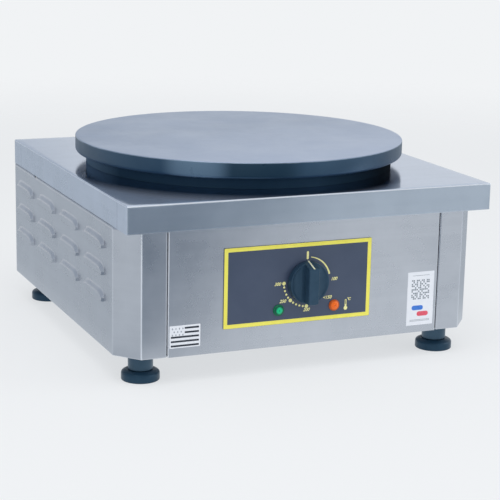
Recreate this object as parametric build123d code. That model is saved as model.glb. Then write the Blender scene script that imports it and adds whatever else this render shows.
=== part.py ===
from build123d import *
import math
import os

# Electric crepe maker: a round cast-iron griddle on a folded stainless case with four
# levelling feet.  Millimetres.  The origin lies on the table under the middle of the
# machine, +X to the operator's right, +Y to the back, +Z up.

# ---- driving dimensions -------------------------------------------------------------
SHEET = 1.2  # thickness of the stainless sheets
BEND = 1.6  # outside radius of their folds
FIT = 0.3  # air between folded parts that slide over each other

COVER_W = 445.0
COVER_D = 455.0
COVER_TOP = 209.4
SKIRT_LOW = 178.5  # lower edge of the cover's skirt
CASE_LOW = 32.2  # underside of the case
CASE_FRONT = -208.0  # outer face of the front panel
CASE_REAR = 226.6  # outer face of the side casings' rear lips
CORNER_X = 198.8  # where the front corner's slanted face meets the front
CORNER_Y = -179.5  # where it meets the side
SEAM_X = 168.0  # half width of the front panel
REAR_SHEET_Y = 212.0  # outer face of the recessed rear panel

PLATE_R = 200.0
PLATE_TOP = 241.3
RIM_LOW = 222.1  # lower edge of the plate's rim
PLATE_THICK = 12.0
RIM_INNER_R = 187.3
RING_R = 187.0  # outside of the black ring between plate and cover
HOLE_R = 178.0  # round opening in the cover

RING_TOP = 227.0
RING_WALL = 1.5
COLLAR_H = 4.0  # the cover's opening is turned up this far
RIVET_R = 1.6
RIVET_HEAD_R = 2.6
RIVET_HEAD_H = 0.9

STUD_R = 140.0  # circle of the four plate studs
STUD_ANGLES = (45, 135, 225, 315)
PLATE_STUD_R = 4.0
STUD_HOLD = 12.0  # each stud goes this far into its boss
STUD_LOW = 180.5
BOSS_R = 9.0
SPACER_R = 6.0
LOOP_RADII = (165.0, 115.0, 65.0)  # outer, middle and inner heating loops
LOOP_GAPS = (-60.0, 0.0, 180.0)  # angle at which each loop opens
ELEMENT_R = 4.25
LEG_SPACING = 24.0
LEG_LOW = 176.0  # lower end of the loops' legs
PIN_L = 13.0
PIN_R = 2.0
BAR_SPAN = (52.0, 174.0)  # radii between which the clamp bars lie
BAR_HALF_W = 9.0
BAR_T = 2.0

RAIL_LOW = 178.2
RAIL_T = 1.5
RAIL_HALF_W = 12.5
PAN_LOW = 192.3  # the insulation pan rests here, on the rails
PAN_HIGH = 212.0
PAN_R = 172.0
PAN_T = 1.0
BOARD_R = 170.5
BOARD_TOP = 213.5
DISH_R = 176.0
DISH_T = 0.8
DISH_LIP = 3.7

BULB_X = (-50.0, 35.0)
BULB_Y = -132.0
BULB_R = 3.0
CLIP_X = -8.0
CAPILLARY_R = 1.0
CAPILLARY_DROP = (58.0, BULB_Y)  # where the capillary passes down through the insulation

LOUVRE_L = 72.0
LOUVRE_OUT = 4.2
LOUVRE_TOP = 9.5  # bend line above the louvre's centre
LOUVRE_NOSE = 0.5
LOUVRE_LOW = -5.5  # open lower edge
LOUVRE_Y = [-114.8 + 96.2 * i for i in range(4)]
LOUVRE_Z = [92.0 + 30.3 * i for i in range(3)]

FASCIA_X = (-103.0, 79.0)
FASCIA_Z = (58.7, 151.1)
FASCIA_T = 1.0
DIAL = (-1.4, 105.5)  # x and z of the control's axis
LAMP_DX = 34.7  # each pilot lamp stands this far beside the control's axis
LAMP_Z = 75.1

KNOB_DEPTH = 18.5
KNOB_GAP = 1.0
SHAFT_R = 3.0
SHAFT_END_Y = -182.0
THERMOSTAT_HALF_X = 19.0
THERMOSTAT_HALF_Z = 17.0
THERMOSTAT_BACK_Y = -173.0
BLADE_L = 8.0
LAMP_STEM_R = 4.9
STICKER_T = 0.15
STRIPED_X = (-166.2, -129.9)
STRIPED_Z = (42.4, 68.0)
WHITE_X = (129.0, 163.9)
WHITE_Z = (40.8, 105.1)

FOOT_X = 187.3
FOOT_Y = (-172.6, 196.5)
PAD_R = 21.8
PAD_H = 12.0
NECK_R = 14.2
SPIGOT_R = 6.0
SPIGOT_LOW = 4.3
FOOT_STUD_R = 5.0
FOOT_STUD_TOP = 66.0
COLLAR_GAP = 0.3
RUNNING = 0.05  # radial play of turning parts

PANEL_STUD_R = 2.5  # studs welded to panel and cover
PANEL_STUD_DX = 14.0  # beside the control's axis
COVER_STUD = (211.0, 135.0)
STUD_HOLE_R = 2.6
CASE_SCREW = (3.6, 1.9, 2.0, 8.0)  # head radius and height, shank radius and length
SCREW_HOLE_R = 2.1
BASE_SCREW_X = 214.6
BASE_SCREW_Y = (-120.0, 30.0, 165.0)
FRONT_SCREW = (90.0, CASE_FRONT + 9.0)
BACK_SCREW = (120.0, REAR_SHEET_Y - SHEET - 8.0)
REAR_SCREW_X = 214.0
REAR_SCREW_Z = (52.0, 105.0, 158.0)
SEAM_SCREW_Y = CASE_FRONT + 9.5
SEAM_SCREW_Z = (70.0, 140.0)

GLAND_X, GLAND_Z = -150.0, 70.0
GLAND_THREAD_R = 10.0
GLAND_SEAL_R = 7.5
CABLE_BORE_R = 5.5
BOND_X, BOND_Z = 150.0, 62.0
BOND_R = 3.0
BOND_END_Y = 226.0
BOND_NUT_H = 4.0  # outer nut of the bonding stud
WASHER_T = 1.2
RUN_OUT = (2.4, 0.8)  # radius and length of the groove behind the stud's free thread
INSIDE_Y = 198.0  # inner ends of gland thread and bonding stud lie about here
BLOCK_X = (-176.0, -116.0)
BLOCK_Y = (148.0, 170.0)
BLOCK_H = 20.0
POLES = 5
SCREW_ROWS = (153.5, 164.5)
LEAD_R = 1.6

# ---- values worked out from them ----------------------------------------------------
HALF_W = COVER_W / 2
HALF_D = COVER_D / 2
COVER_UNDER = COVER_TOP - SHEET
WALL_TOP = SKIRT_LOW - 0.6
PLATE_UNDER = PLATE_TOP - PLATE_THICK
ELEMENT_Z = PLATE_UNDER - ELEMENT_R - 0.05
BAR_TOP = ELEMENT_Z - ELEMENT_R - 0.05
TRAY_LOW = CASE_LOW + SHEET
TRAY_TOP = TRAY_LOW + SHEET
BULB_Z = PLATE_UNDER - BULB_R - 0.1
CASE_FRONT_IN = CASE_FRONT + SHEET
FASCIA_FRONT = CASE_FRONT - FASCIA_T
KNOB_BACK = FASCIA_FRONT - KNOB_GAP
GLAND_END_Y = KNOB_DEPTH - KNOB_BACK
THERMOSTAT_Y = (CASE_FRONT_IN + 1.5, THERMOSTAT_BACK_Y)
STUD_SPOTS = [(STUD_R * math.cos(math.radians(a)), STUD_R * math.sin(math.radians(a)))
              for a in STUD_ANGLES]
RAIL_Y = STUD_SPOTS[0][1]
FOOT_SPOTS = {
    "front_left": (-FOOT_X, FOOT_Y[0]),
    "front_right": (FOOT_X, FOOT_Y[0]),
    "rear_left": (-FOOT_X, FOOT_Y[1]),
    "rear_right": (FOOT_X, FOOT_Y[1]),
}
UP = (0, 0, 1)
DOWN = (0, 0, -1)
BACK = (0, 1, 0)
FRONT = (0, -1, 0)
RIGHT = (1, 0, 0)


# ---- shared shapes ------------------------------------------------------------------
def block(x0, x1, y0, y1, z0, z1):
    """Block between two corners."""
    middle = Pos((x0 + x1) / 2, (y0 + y1) / 2, (z0 + z1) / 2)
    return middle * Box(x1 - x0, y1 - y0, z1 - z0)


def rod(start, direction, radius, length):
    """Cylinder from start along direction."""
    return Plane(origin=start, z_dir=direction) * Pos(0, 0, length / 2) * Cylinder(radius, length)


def tube(start, direction, radius, bore, length):
    """Rod with a bore right through."""
    return rod(start, direction, radius, length) - rod(start, direction, bore, length)


def disc(z0, z1, radius):
    """Disc about the plate's axis between two heights."""
    return rod((0, 0, z0), UP, radius, z1 - z0)


def hexagon(start, direction, across_flats, length, bore=0.0):
    """Hexagonal nut or head, with its bore if it has one."""
    outline = RegularPolygon(across_flats / 2, 6, major_radius=False)
    body = extrude(Plane(origin=start, z_dir=direction) * outline, length)
    if bore:
        body -= rod(start, direction, bore, length)
    return body


def pan_screw(seat, direction, head_r, head_h, shank_r, shank_l):
    """Pan-head screw: seat is the point under its head, direction the way the shank goes."""
    away = tuple(-c for c in direction)
    head = rod(seat, away, head_r, head_h)
    crown = head.edges().group_by(Axis(seat, away))[-1]
    return fillet(crown, head_h * 0.45) + rod(seat, direction, shank_r, shank_l)


def along(points, bend_radii):
    """Line through the points with rounded corners."""
    return FilletPolyline(*points, radius=bend_radii)


def bent_rod(path, radius):
    """Round rod or wire that follows the path."""
    return sweep(Plane(origin=path @ 0, z_dir=path % 0) * Circle(radius), path=path)


def mirrored(shape):
    """The same shape on the other side of the machine."""
    return mirror(shape, about=Plane.YZ)


# ---- griddle plate and what hangs under it ------------------------------------------
def griddle_plate():
    """Cast-iron disc with a deeper rim and four bosses for its studs."""
    plate = disc(RIM_LOW, PLATE_TOP, PLATE_R) - disc(RIM_LOW, PLATE_UNDER, RIM_INNER_R)
    rings = plate.edges().filter_by(GeomType.CIRCLE)
    top_edge = rings.filter_by(lambda e: abs(e.radius - PLATE_R) < 0.1).sort_by(Axis.Z)[-1]
    plate = fillet(top_edge, 1.5)
    rings = plate.edges().filter_by(GeomType.CIRCLE)
    low_edge = rings.filter_by(lambda e: abs(e.radius - PLATE_R) < 0.1).sort_by(Axis.Z)[0]
    plate = fillet(low_edge, 4.0)
    for x, y in STUD_SPOTS:
        plate += rod((x, y, BAR_TOP), UP, BOSS_R, PLATE_UNDER - BAR_TOP + 0.5)
        plate -= rod((x, y, BAR_TOP), UP, PLATE_STUD_R, STUD_HOLD)
    return plate


def plate_studs():
    """Studs screwed into the bosses, down through the rails."""
    length = BAR_TOP + STUD_HOLD - STUD_LOW
    return [rod((x, y, STUD_LOW), UP, PLATE_STUD_R, length) for x, y in STUD_SPOTS]


def stud_nuts():
    """Nuts that pull the studs against the rails' webs."""
    web_under = PAN_LOW - RAIL_T
    return [hexagon((x, y, web_under), DOWN, 13.0, 6.5, bore=PLATE_STUD_R) for x, y in STUD_SPOTS]


def spacer_tubes():
    """Tubes round the studs, between the clamp bars and the rails."""
    height = BAR_TOP - BAR_T - PAN_LOW
    return [tube((x, y, PAN_LOW), UP, SPACER_R, PLATE_STUD_R + 0.1, height) for x, y in STUD_SPOTS]


def element_clamp_bars():
    """Radial flat bars that press the heating loops to the plate."""
    bars = []
    for angle in STUD_ANGLES:
        bar = block(*BAR_SPAN, -BAR_HALF_W, BAR_HALF_W, BAR_TOP - BAR_T, BAR_TOP)
        bar -= rod((STUD_R, 0, BAR_TOP - BAR_T), UP, PLATE_STUD_R + 0.1, BAR_T)
        bars.append(Rot(0, 0, angle) * bar)
    return bars


def leg_spots(loop_r, mid_angle):
    """The two points where a loop's legs come down, either side of its gap."""
    spots = []
    for side in (1, -1):
        a = math.radians(mid_angle) + side * math.asin(LEG_SPACING / loop_r)
        inward = side * LEG_SPACING / 2
        spots.append((loop_r * math.cos(a) + inward * math.sin(a),
                      loop_r * math.sin(a) - inward * math.cos(a)))
    return spots


def heating_loop(loop_r, mid_angle):
    """Sheathed heating tube: one loop whose two ends turn down as legs."""
    turn = LEG_SPACING / 2
    half_gap = math.degrees(math.asin(LEG_SPACING / loop_r))

    def leg(angle, side):
        a = math.radians(angle)
        end = Vector(loop_r * math.cos(a), loop_r * math.sin(a), ELEMENT_Z)
        out = Vector(-math.sin(a), math.cos(a), 0) * side
        drop = Vector(0, 0, 1)
        low = end + out * turn - drop * turn
        half = math.sqrt(0.5)
        middle = end + out * (turn * half) - drop * (turn * (1 - half))
        return end, middle, low

    first, second = mid_angle + half_gap, mid_angle - half_gap
    e0, m0, l0 = leg(first, -1)
    e1, m1, l1 = leg(second, 1)
    path = Wire([
        Line((l0.X, l0.Y, LEG_LOW), l0).edge(),
        ThreePointArc(l0, m0, e0).edge(),
        CenterArc((0, 0, ELEMENT_Z), loop_r, first, 360 - 2 * half_gap).edge(),
        ThreePointArc(e1, m1, l1).edge(),
        Line(l1, (l1.X, l1.Y, LEG_LOW)).edge(),
    ])
    return bent_rod(path, ELEMENT_R)


def element_terminals():
    """Threaded pin and nut at the lower end of every leg."""
    pins = []
    for loop_r, mid in zip(LOOP_RADII, LOOP_GAPS):
        for x, y in leg_spots(loop_r, mid):
            pin = rod((x, y, LEG_LOW), DOWN, PIN_R, PIN_L)
            pins.append(pin + hexagon((x, y, LEG_LOW - 7.0), DOWN, 7.0, 3.2))
    return pins


def pierced(shape, z0, z1):
    """Holes for the spacer tubes, the legs and the capillary."""
    for x, y in STUD_SPOTS:
        shape -= rod((x, y, z0), UP, SPACER_R + 0.4, z1 - z0)
    for loop_r, mid in zip(LOOP_RADII, LOOP_GAPS):
        for x, y in leg_spots(loop_r, mid):
            shape -= rod((x, y, z0), UP, ELEMENT_R + 1.2, z1 - z0)
    return shape - rod((*CAPILLARY_DROP, z0), UP, 3.0, z1 - z0)


def reflector_dish():
    """Aluminised dish under the loops, its edge turned up."""
    z0, z1 = BOARD_TOP, BOARD_TOP + DISH_T
    dish = disc(z0, z1 + DISH_LIP, DISH_R) - disc(z1, z1 + DISH_LIP, DISH_R - DISH_T)
    return pierced(dish, z0, z1)


def insulation_board():
    """Ceramic-fibre board in the pan."""
    return pierced(disc(PAN_LOW + PAN_T, BOARD_TOP, BOARD_R), PAN_LOW + PAN_T, BOARD_TOP)


def insulation_pan():
    """Shallow steel pan that holds the board, on the rails."""
    pan = disc(PAN_LOW, PAN_HIGH, PAN_R) - disc(PAN_LOW + PAN_T, PAN_HIGH, PAN_R - PAN_T)
    return pierced(pan, PAN_LOW, PAN_LOW + PAN_T)


def heat_ring():
    """Black ring that closes the gap between cover and plate, with a foot on the cover."""
    foot_r = HOLE_R + SHEET + FIT
    wall = disc(COVER_TOP, RING_TOP, RING_R) - disc(COVER_TOP, RING_TOP, RING_R - RING_WALL)
    foot = disc(COVER_TOP, COVER_TOP + SHEET, RING_R) - disc(COVER_TOP, COVER_TOP + SHEET, foot_r)
    ring = wall + foot
    for x, y in rivet_spots():
        ring -= rod((x, y, COVER_TOP), UP, RIVET_R, SHEET)
    return ring


def rivet_spots():
    """Six places round the ring's foot."""
    r = (HOLE_R + RING_R) / 2
    angles = [math.radians(30 + 60 * i) for i in range(6)]
    return [(r * math.cos(a), r * math.sin(a)) for a in angles]


def ring_rivets():
    """Rivets through the ring's foot and the cover."""
    rivets = []
    for x, y in rivet_spots():
        length = 2 * (SHEET + RIVET_HEAD_H)
        shank = rod((x, y, COVER_UNDER - RIVET_HEAD_H), UP, RIVET_R, length)
        upper = rod((x, y, COVER_TOP + SHEET), UP, RIVET_HEAD_R, RIVET_HEAD_H)
        lower = rod((x, y, COVER_UNDER), DOWN, RIVET_HEAD_R, RIVET_HEAD_H)
        rivets.append(shank + upper + lower)
    return rivets


# ---- temperature sensing ------------------------------------------------------------
def sensing_bulb():
    """Liquid-filled bulb against the underside of the plate."""
    bulb = rod((BULB_X[0], BULB_Y, BULB_Z), RIGHT, BULB_R, BULB_X[1] - BULB_X[0])
    return fillet(bulb.edges().filter_by(GeomType.CIRCLE), 1.0)


def bulb_clip():
    """Spring strap that holds the bulb up, with its screw."""
    x = CLIP_X
    outer = block(x - 5, x + 5, BULB_Y - 4.2, BULB_Y + 4.2, BULB_Z - 4.2, PLATE_UNDER)
    inner = block(x - 5, x + 5, BULB_Y - 3.2, BULB_Y + 3.2, BULB_Z - 3.1, PLATE_UNDER)
    ear = block(x - 5, x + 5, BULB_Y + 4.2, BULB_Y + 12.0, PLATE_UNDER - 1.0, PLATE_UNDER)
    screw = rod((x, BULB_Y + 8.4, PLATE_UNDER - 1.0), DOWN, 3.0, 1.8)
    return outer - inner + ear + screw


def capillary_tube():
    """Thin copper tube from the thermostat up to the bulb."""
    x0 = DIAL[0] + 13.0
    y0 = (THERMOSTAT_Y[0] + THERMOSTAT_Y[1]) / 2 + 2.0
    top = DIAL[1] + THERMOSTAT_HALF_Z
    px, py = CAPILLARY_DROP
    points = [
        (x0, y0, top), (x0, y0, top + 32), (x0 + 20, y0 + 16, top + 48),
        (px, py - 14, 170), (px, py, 180), (px, py, BULB_Z), (BULB_X[1], BULB_Y, BULB_Z),
    ]
    return bent_rod(along(points, [10, 8, 7, 7, 10]), CAPILLARY_R)


def thermostat_bracket():
    """Steel mounting plate behind the front panel."""
    x, z = DIAL
    y0 = CASE_FRONT_IN
    plate = block(x - 22, x + 22, y0, y0 + 1.5, z - 17, z + 17)
    plate -= rod((x, y0, z), BACK, 5.2, 1.5)
    for dx in (-PANEL_STUD_DX, PANEL_STUD_DX):
        plate -= rod((x + dx, y0, z), BACK, STUD_HOLE_R, 1.5)
    return plate


def thermostat_housing():
    """Pressed steel housing with the shaft's bush and the bellows inside."""
    x, z = DIAL
    y0, y1 = THERMOSTAT_Y
    waist = PANEL_STUD_DX - 5.5
    front = block(x - waist, x + waist, y0, y0 + 8, z - THERMOSTAT_HALF_Z, z + THERMOSTAT_HALF_Z)
    rear = block(x - THERMOSTAT_HALF_X, x + THERMOSTAT_HALF_X, y0 + 8, y1,
                 z - THERMOSTAT_HALF_Z, z + THERMOSTAT_HALF_Z)
    bush = rod((x, CASE_FRONT_IN, z), BACK, 5.0, 3.0)
    housing = front + rear + bush
    return housing - rod((x, CASE_FRONT_IN, z), BACK, SHAFT_R + RUNNING, SHAFT_END_Y + 3.2 - CASE_FRONT_IN)


def thermostat_switch_base():
    """Ceramic base behind the housing, which carries the contacts and blades."""
    x, z = DIAL
    y0 = THERMOSTAT_Y[1]
    base = block(x - 18, x + 18, y0, y0 + 12, z - 15, z + 15)
    for dx in (-9, 9):
        for dz in (-8, 8):
            base += block(x + dx - 3, x + dx + 3, y0 + 12, y0 + 12 + BLADE_L, z + dz - 0.4, z + dz + 0.4)
    return base


def weld_studs():
    """Studs welded inside the front panel and under the cover."""
    x, z = DIAL
    cx, cy = COVER_STUD
    panel = [rod((x + dx, CASE_FRONT_IN, z), BACK, PANEL_STUD_R, 7.2)
             for dx in (-PANEL_STUD_DX, PANEL_STUD_DX)]
    cover = [rod((sx * cx, y, COVER_UNDER), DOWN, PANEL_STUD_R, 12.0)
             for sx in (-1, 1) for y in (-cy, cy)]
    return panel + cover


def weld_stud_nuts():
    """The studs' nuts."""
    x, z = DIAL
    cx, cy = COVER_STUD
    panel = [hexagon((x + dx, CASE_FRONT_IN + 1.5, z), BACK, 8.0, 4.0, bore=PANEL_STUD_R)
             for dx in (-PANEL_STUD_DX, PANEL_STUD_DX)]
    cover = [hexagon((sx * cx, y, COVER_UNDER - SHEET), DOWN, 8.0, 4.0, bore=PANEL_STUD_R)
             for sx in (-1, 1) for y in (-cy, cy)]
    return panel + cover


# ---- case ---------------------------------------------------------------------------
def top_cover():
    """Folded cover: flat top, skirt all round, round opening with a low collar."""
    outer = block(-HALF_W, HALF_W, -HALF_D, HALF_D, SKIRT_LOW, COVER_TOP)
    outer = fillet(outer.edges().filter_by(Axis.Z), BEND)
    outer = fillet(outer.edges().group_by(Axis.Z)[-1], BEND)
    inner = block(-HALF_W + SHEET, HALF_W - SHEET, -HALF_D + SHEET, HALF_D - SHEET, SKIRT_LOW, COVER_UNDER)
    cover = outer - inner - disc(COVER_UNDER, COVER_TOP, HOLE_R)
    collar = disc(COVER_UNDER, COVER_TOP + COLLAR_H, HOLE_R + SHEET)
    cover += collar - disc(COVER_UNDER, COVER_TOP + COLLAR_H, HOLE_R)
    lip = block(-HALF_W + SHEET, HALF_W - SHEET, -HALF_D + SHEET, -HALF_D + 12, SKIRT_LOW, SKIRT_LOW + SHEET)
    cover += lip
    for x, y in rivet_spots():
        cover -= rod((x, y, COVER_UNDER), UP, RIVET_R, SHEET)
    return cover


def louvre(depth, inset, inward):
    """Pressed hood on the left wall as a solid: depth outwards, sloped top and ends."""
    x = -HALF_W
    side = make_face(Polyline(
        (x + inward, LOUVRE_TOP - 2 * inset), (x, LOUVRE_TOP - 2 * inset), (x - depth, LOUVRE_NOSE),
        (x - depth, LOUVRE_LOW), (x + inward, LOUVRE_LOW), close=True))
    half = LOUVRE_L / 2 - inset
    plan = make_face(Polyline(
        (x + inward, -half), (x, -half), (x - depth, -half + 5), (x - depth, half - 5), (x, half),
        (x + inward, half), close=True))
    across = extrude(Plane.XZ * side, LOUVRE_L / 2, both=True)
    upward = extrude(Pos(0, 0, LOUVRE_LOW) * plan, LOUVRE_TOP - LOUVRE_LOW)
    return across & upward


def left_side_casing():
    """Side wall with its slanted front corner, front return and rear lip, one folded sheet."""
    x = -HALF_W
    seam = -SEAM_X - 1.0
    plan = along([(x + 15, CASE_REAR), (x, CASE_REAR), (x, CORNER_Y), (-CORNER_X, CASE_FRONT),
                  (seam, CASE_FRONT), (seam, CASE_FRONT + 15)], BEND)
    wall = extrude(make_face(offset(plan, SHEET, side=Side.LEFT)), WALL_TOP - CASE_LOW)
    casing = Pos(0, 0, CASE_LOW) * wall
    casing -= block(seam - BEND, seam, CASE_FRONT_IN, CASE_FRONT + 16, CASE_LOW, TRAY_TOP + 1)
    in_x = x + SHEET + FIT
    casing += block(x + SHEET, x + 14, -150, 205, CASE_LOW, CASE_LOW + SHEET)
    casing += block(x + SHEET, in_x + SHEET, -170, 224, WALL_TOP - SHEET, WALL_TOP)
    casing += block(in_x, in_x + SHEET, -170, 224, WALL_TOP - SHEET, COVER_UNDER)
    casing += block(in_x + SHEET, x + 17.5, -170, 205, COVER_UNDER - SHEET, COVER_UNDER)
    hood = louvre(LOUVRE_OUT, 0.0, 0.5)
    hollow = louvre(LOUVRE_OUT - 1.0, 1.0, SHEET)
    spots = [Pos(0, y, z) for y in LOUVRE_Y for z in LOUVRE_Z]
    casing += [p * hood for p in spots]
    casing -= [p * hollow for p in spots]
    for y in (-COVER_STUD[1], COVER_STUD[1]):
        casing -= rod((-COVER_STUD[0], y, COVER_UNDER - SHEET), UP, STUD_HOLE_R, SHEET)
    for y in BASE_SCREW_Y:
        casing -= rod((-BASE_SCREW_X, y, CASE_LOW), UP, SCREW_HOLE_R, SHEET)
    for z in REAR_SCREW_Z:
        casing -= rod((-REAR_SCREW_X, CASE_REAR - SHEET, z), BACK, SCREW_HOLE_R, SHEET)
    for z in SEAM_SCREW_Z:
        casing -= rod((seam - SHEET, SEAM_SCREW_Y, z), RIGHT, SCREW_HOLE_R, SHEET)
    return casing


def front_panel():
    """Front sheet with folded edges, holes for the control and both pilot lamps."""
    y = CASE_FRONT
    plan = along([(-SEAM_X, y + 15), (-SEAM_X, y), (SEAM_X, y), (SEAM_X, y + 15)], BEND)
    sheet = extrude(make_face(offset(plan, SHEET, side=Side.LEFT)), COVER_UNDER - CASE_LOW)
    panel = Pos(0, 0, CASE_LOW) * sheet
    for sx in (-1, 1):
        x0, x1 = sorted((sx * (SEAM_X - BEND), sx * SEAM_X))
        panel -= block(x0, x1, CASE_FRONT_IN, y + 16, CASE_LOW, TRAY_TOP + 1)
        panel -= block(x0, x1, CASE_FRONT_IN, y + 16, WALL_TOP - 2, COVER_UNDER)
    panel += block(-160, 160, CASE_FRONT_IN, y + 13, COVER_UNDER - SHEET, COVER_UNDER)
    panel += block(-160, 160, CASE_FRONT_IN, y + 16, CASE_LOW, CASE_LOW + SHEET)
    panel -= rod((DIAL[0], y, DIAL[1]), BACK, 5.2, SHEET)
    for sx in (-1, 1):
        panel -= rod((DIAL[0] + sx * LAMP_DX, y, LAMP_Z), BACK, LAMP_STEM_R + 0.1, SHEET)
        panel -= rod((sx * FRONT_SCREW[0], FRONT_SCREW[1], CASE_LOW), UP, SCREW_HOLE_R, SHEET)
        for z in SEAM_SCREW_Z:
            panel -= rod((sx * (SEAM_X + 0.5), SEAM_SCREW_Y, z), (-sx, 0, 0), SCREW_HOLE_R, SHEET + 1)
    return panel


def rear_panel():
    """Recessed rear sheet: its edges fold back to lips behind the side casings' lips."""
    y1 = REAR_SHEET_Y
    y0 = y1 - SHEET
    lip_y = CASE_REAR - SHEET
    panel = block(-206.2, 206.2, y0, y1, TRAY_TOP + SHEET, COVER_UNDER)
    for sx in (-1, 1):
        wx0, wx1 = sorted((sx * 205.0, sx * 206.2))
        lx0, lx1 = sorted((sx * 206.2, sx * 220.5))
        panel += block(wx0, wx1, y1, lip_y, 36, 176)
        panel += block(lx0, lx1, lip_y - SHEET, lip_y, 36, 176)
        panel -= block(*sorted((sx * 195.0, sx * 206.3)), y0, y1, 176, COVER_UNDER)
        for z in REAR_SCREW_Z:
            panel -= rod((sx * REAR_SCREW_X, lip_y - SHEET, z), BACK, SCREW_HOLE_R, SHEET)
    panel += block(-195, 195, y0 - 11, y0, COVER_UNDER - SHEET, COVER_UNDER)
    panel += block(-165, 165, y0 - 15, y1, TRAY_TOP, TRAY_TOP + SHEET)
    for sx in (-1, 1):
        panel -= rod((sx * BACK_SCREW[0], BACK_SCREW[1], TRAY_TOP), UP, SCREW_HOLE_R, SHEET)
    panel -= rod((GLAND_X, y0, GLAND_Z), BACK, GLAND_THREAD_R + 0.2, SHEET)
    panel -= rod((BOND_X, y0, BOND_Z), BACK, BOND_R + 0.2, SHEET)
    return panel


def base_tray():
    """Floor of the case, with turned-up sides, air slots and holes for the feet."""
    edge = HALF_W - SHEET - FIT
    shift = SHEET + FIT
    slope = (CORNER_Y - CASE_FRONT) / (HALF_W - CORNER_X)
    run = math.hypot(CORNER_Y - CASE_FRONT, HALF_W - CORNER_X)
    nose_x = CORNER_X - shift * run / (CORNER_Y - CASE_FRONT) + shift / slope
    side_y = CORNER_Y + shift * run / (HALF_W - CORNER_X) - shift * slope
    front_y = CASE_FRONT + shift
    rear_y = REAR_SHEET_Y
    half = [(edge, rear_y), (edge, side_y), (nose_x, front_y)]
    outline = half + [(-x, y) for x, y in reversed(half)]
    tray = Pos(0, 0, TRAY_LOW) * extrude(make_face(Polyline(*outline, close=True)), SHEET)
    for sx in (-1, 1):
        x0, x1 = sorted((sx * edge, sx * (edge - SHEET)))
        tray += block(x0, x1, side_y + 2, 205, TRAY_TOP, TRAY_TOP + 12)
        spots = [(BASE_SCREW_X, y) for y in BASE_SCREW_Y] + [FRONT_SCREW, BACK_SCREW]
        tray -= [rod((sx * x, y, TRAY_LOW), UP, SCREW_HOLE_R, SHEET) for x, y in spots]
    for x, y in FOOT_SPOTS.values():
        tray -= rod((x, y, TRAY_LOW), UP, FOOT_STUD_R + 0.4, SHEET)
    for x in (-90, -30, 30, 90):
        for i in range(5):
            slot = extrude(SlotOverall(44, 5), SHEET)
            tray -= Pos(x, -48 + 24 * i, TRAY_LOW) * slot
    return tray


def support_rails():
    """Two channels across the case that carry the plate, welded to the side casings."""
    end = HALF_W - 2 * SHEET - FIT
    rails = []
    for y in (-RAIL_Y, RAIL_Y):
        rail = block(-end, end, y - RAIL_HALF_W, y + RAIL_HALF_W, RAIL_LOW, PAN_LOW)
        rail -= block(-end + RAIL_T, end - RAIL_T, y - RAIL_HALF_W + RAIL_T, y + RAIL_HALF_W - RAIL_T,
                      RAIL_LOW, PAN_LOW - RAIL_T)
        for sx in (-1, 1):
            rail -= rod((sx * STUD_SPOTS[0][0], y, PAN_LOW - RAIL_T), UP, PLATE_STUD_R + 0.1, RAIL_T)
        rails.append(rail)
    return rails


# ---- case fasteners -----------------------------------------------------------------
def base_screws():
    """Screws from below, through the folded edges into the tray."""
    spots = [(sx * BASE_SCREW_X, y, CASE_LOW) for sx in (-1, 1) for y in BASE_SCREW_Y]
    spots += [(sx * FRONT_SCREW[0], FRONT_SCREW[1], CASE_LOW) for sx in (-1, 1)]
    spots += [(sx * BACK_SCREW[0], BACK_SCREW[1], TRAY_LOW) for sx in (-1, 1)]
    return [pan_screw(p, UP, *CASE_SCREW) for p in spots]


def rear_screws():
    """Screws through both rear lips."""
    spots = [(sx * REAR_SCREW_X, CASE_REAR, z) for sx in (-1, 1) for z in REAR_SCREW_Z]
    return [pan_screw(p, FRONT, *CASE_SCREW) for p in spots]


def seam_screws():
    """Screws inside the case that join the front panel's edges to the side casings."""
    screws = []
    for sx in (-1, 1):
        for z in SEAM_SCREW_Z:
            seat = (sx * (SEAM_X - SHEET), SEAM_SCREW_Y, z)
            screws.append(pan_screw(seat, (sx, 0, 0), *CASE_SCREW))
    return screws


# ---- control panel ------------------------------------------------------------------
def fascia_plate():
    """Printed plate glued to the front panel."""
    plate = block(*FASCIA_X, FASCIA_FRONT, CASE_FRONT, *FASCIA_Z)
    plate = fillet(plate.edges().filter_by(Axis.Y), 1.0)
    plate -= rod((DIAL[0], FASCIA_FRONT, DIAL[1]), BACK, 4.6, FASCIA_T)
    for sx in (-1, 1):
        plate -= rod((DIAL[0] + sx * LAMP_DX, FASCIA_FRONT, LAMP_Z), BACK, LAMP_STEM_R + 0.1, FASCIA_T)
    return plate


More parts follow.
